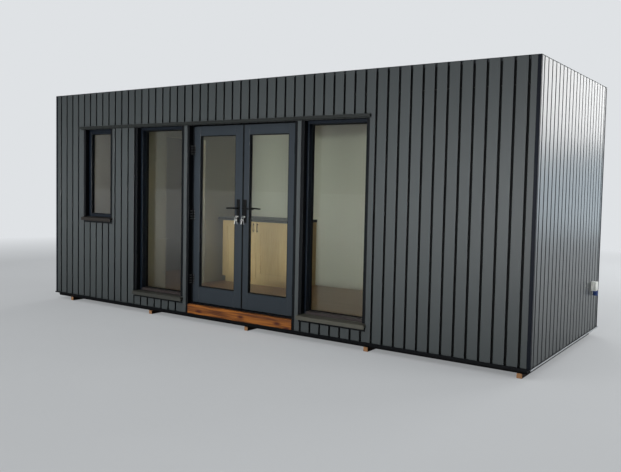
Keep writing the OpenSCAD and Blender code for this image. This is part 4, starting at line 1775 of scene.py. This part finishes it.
@dataclass
class Studio:
    """A plain pale floor, soft light and the camera at the photograph's view.

    Attributes:
        eye: Where the camera stands.
        turn: The camera's turn about X, Y and Z, in degrees.
        lens: Its focal length on a sensor 36 mm wide, in millimetres.
        shift: The shift of its frame.
        backdrop: The colour behind the building.
        fade: The distances where the floor starts to take the backdrop's colour and where it has it.
        floor_lift: How much of the backdrop's colour the camera sees in the floor near the building.
        air: The strength of the light from all sides.
    """

    eye: Point = (5.025966, -7.396104, 1.668454)
    turn: Point = (86.666680, -1.008960, 36.250442)
    lens: float = 41.666699
    shift: Span = (0.0557720, -0.0214573)
    backdrop: str = "dfe2e5"
    fade: Span = (5.0, 13.0)
    floor_lift: float = 0.3
    air: float = 0.28

    def camera(self) -> None:
        """Places the camera."""
        data = bpy.data.cameras.new("photo_view")
        data.sensor_fit = "HORIZONTAL"
        data.sensor_width = 36.0
        data.lens = self.lens
        data.shift_x, data.shift_y = self.shift
        data.clip_end = 200.0
        camera = bpy.data.objects.new("photo_view", data)
        camera.location = self.eye
        camera.rotation_euler = [math.radians(angle) for angle in self.turn]
        bpy.context.scene.collection.objects.link(camera)
        bpy.context.scene.camera = camera

    def floor(self) -> None:
        """Lays the floor, which takes the building's shadow and fades into the backdrop farther away."""
        pick()
        bpy.ops.mesh.primitive_plane_add(size=160.0, location=(0, 0, 0))
        floor = set_in_place("studio_floor")
        made = bpy.data.materials.new("pale_studio_floor")
        made.use_nodes = True
        graph = Graph(made.node_tree)
        where = graph.add("TexCoord").outputs["Object"]
        distance = graph.add("VectorMath", {"operation": "LENGTH"}, {0: where}).outputs["Value"]
        reach = {"From Min": self.fade[0], "From Max": self.fade[1]}
        far = graph.add("MapRange", reach, {"Value": distance}).outputs[0]
        mottle = graph.add("TexNoise", {"Scale": 0.6, "Detail": 3.0}, {"Vector": where}).outputs["Fac"]
        tones = {"data_type": "RGBA", 6: linear("d2d4d5"), 7: linear("dadcdd")}
        tone = graph.add("Mix", tones, {0: mottle}).outputs[2]
        matt = graph.add("BsdfPrincipled", {"Roughness": 0.9}, {"Base Color": tone}).outputs[0]
        glow = graph.add("Emission", {"Color": linear(self.backdrop), "Strength": 1.0}).outputs[0]
        seen = graph.add("LightPath").outputs["Is Camera Ray"]
        lift = graph.add("Math", {"operation": "MULTIPLY", 1: self.floor_lift}, {0: seen}).outputs[0]
        share = graph.add("Math", {"operation": "MAXIMUM"}, {0: far, 1: lift}).outputs[0]
        surface = graph.add("MixShader", links={0: share, 1: matt, 2: glow}).outputs[0]
        graph.add("OutputMaterial", links={"Surface": surface})
        floor.data.materials.append(made)

    def light(self) -> None:
        """Sets the even light of the surroundings and hangs the lamps; straight views show the backdrop."""
        world = bpy.data.worlds.new("studio_air")
        bpy.context.scene.world = world
        world.use_nodes = True
        graph = Graph(world.node_tree)
        air = graph.add("Background", {"Color": linear("f0f4f8"), "Strength": self.air}).outputs[0]
        backdrop = graph.add("Background", {"Color": linear(self.backdrop), "Strength": 1.0}).outputs[0]
        rays = graph.add("LightPath").outputs
        views = {0: rays["Is Camera Ray"], 1: rays["Is Transmission Ray"]}
        direct = graph.add("Math", {"operation": "MAXIMUM"}, views).outputs[0]
        sky = graph.add("MixShader", links={0: direct, 1: air, 2: backdrop}).outputs[0]
        graph.add("OutputWorld", links={"Surface": sky})
        for lamp in LAMPS:
            lamp.hang()

    def build(self) -> None:
        """Sets up the studio."""
        self.camera()
        self.floor()
        self.light()
        bpy.context.scene.view_settings.view_transform = "Standard"


def main() -> None:
    """Builds the pod's sub-assemblies in order and reports each piece."""
    logging.basicConfig(level=logging.INFO, format="%(name)s: %(message)s")
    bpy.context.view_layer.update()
    Studio().build()
    assemblies = (
        Cladding(),
        Shell(),
        Trims(),
        Windows(),
        DoorLeaf(Side.LEFT),
        DoorLeaf(Side.RIGHT),
        FixedHinges(),
        Kitchen(),
        PowerInlet(),
    )
    for assembly in assemblies:
        LOG.info("building %s", type(assembly).__name__)
        assembly.build()
    pick()


if __name__ == "__main__":
    main()
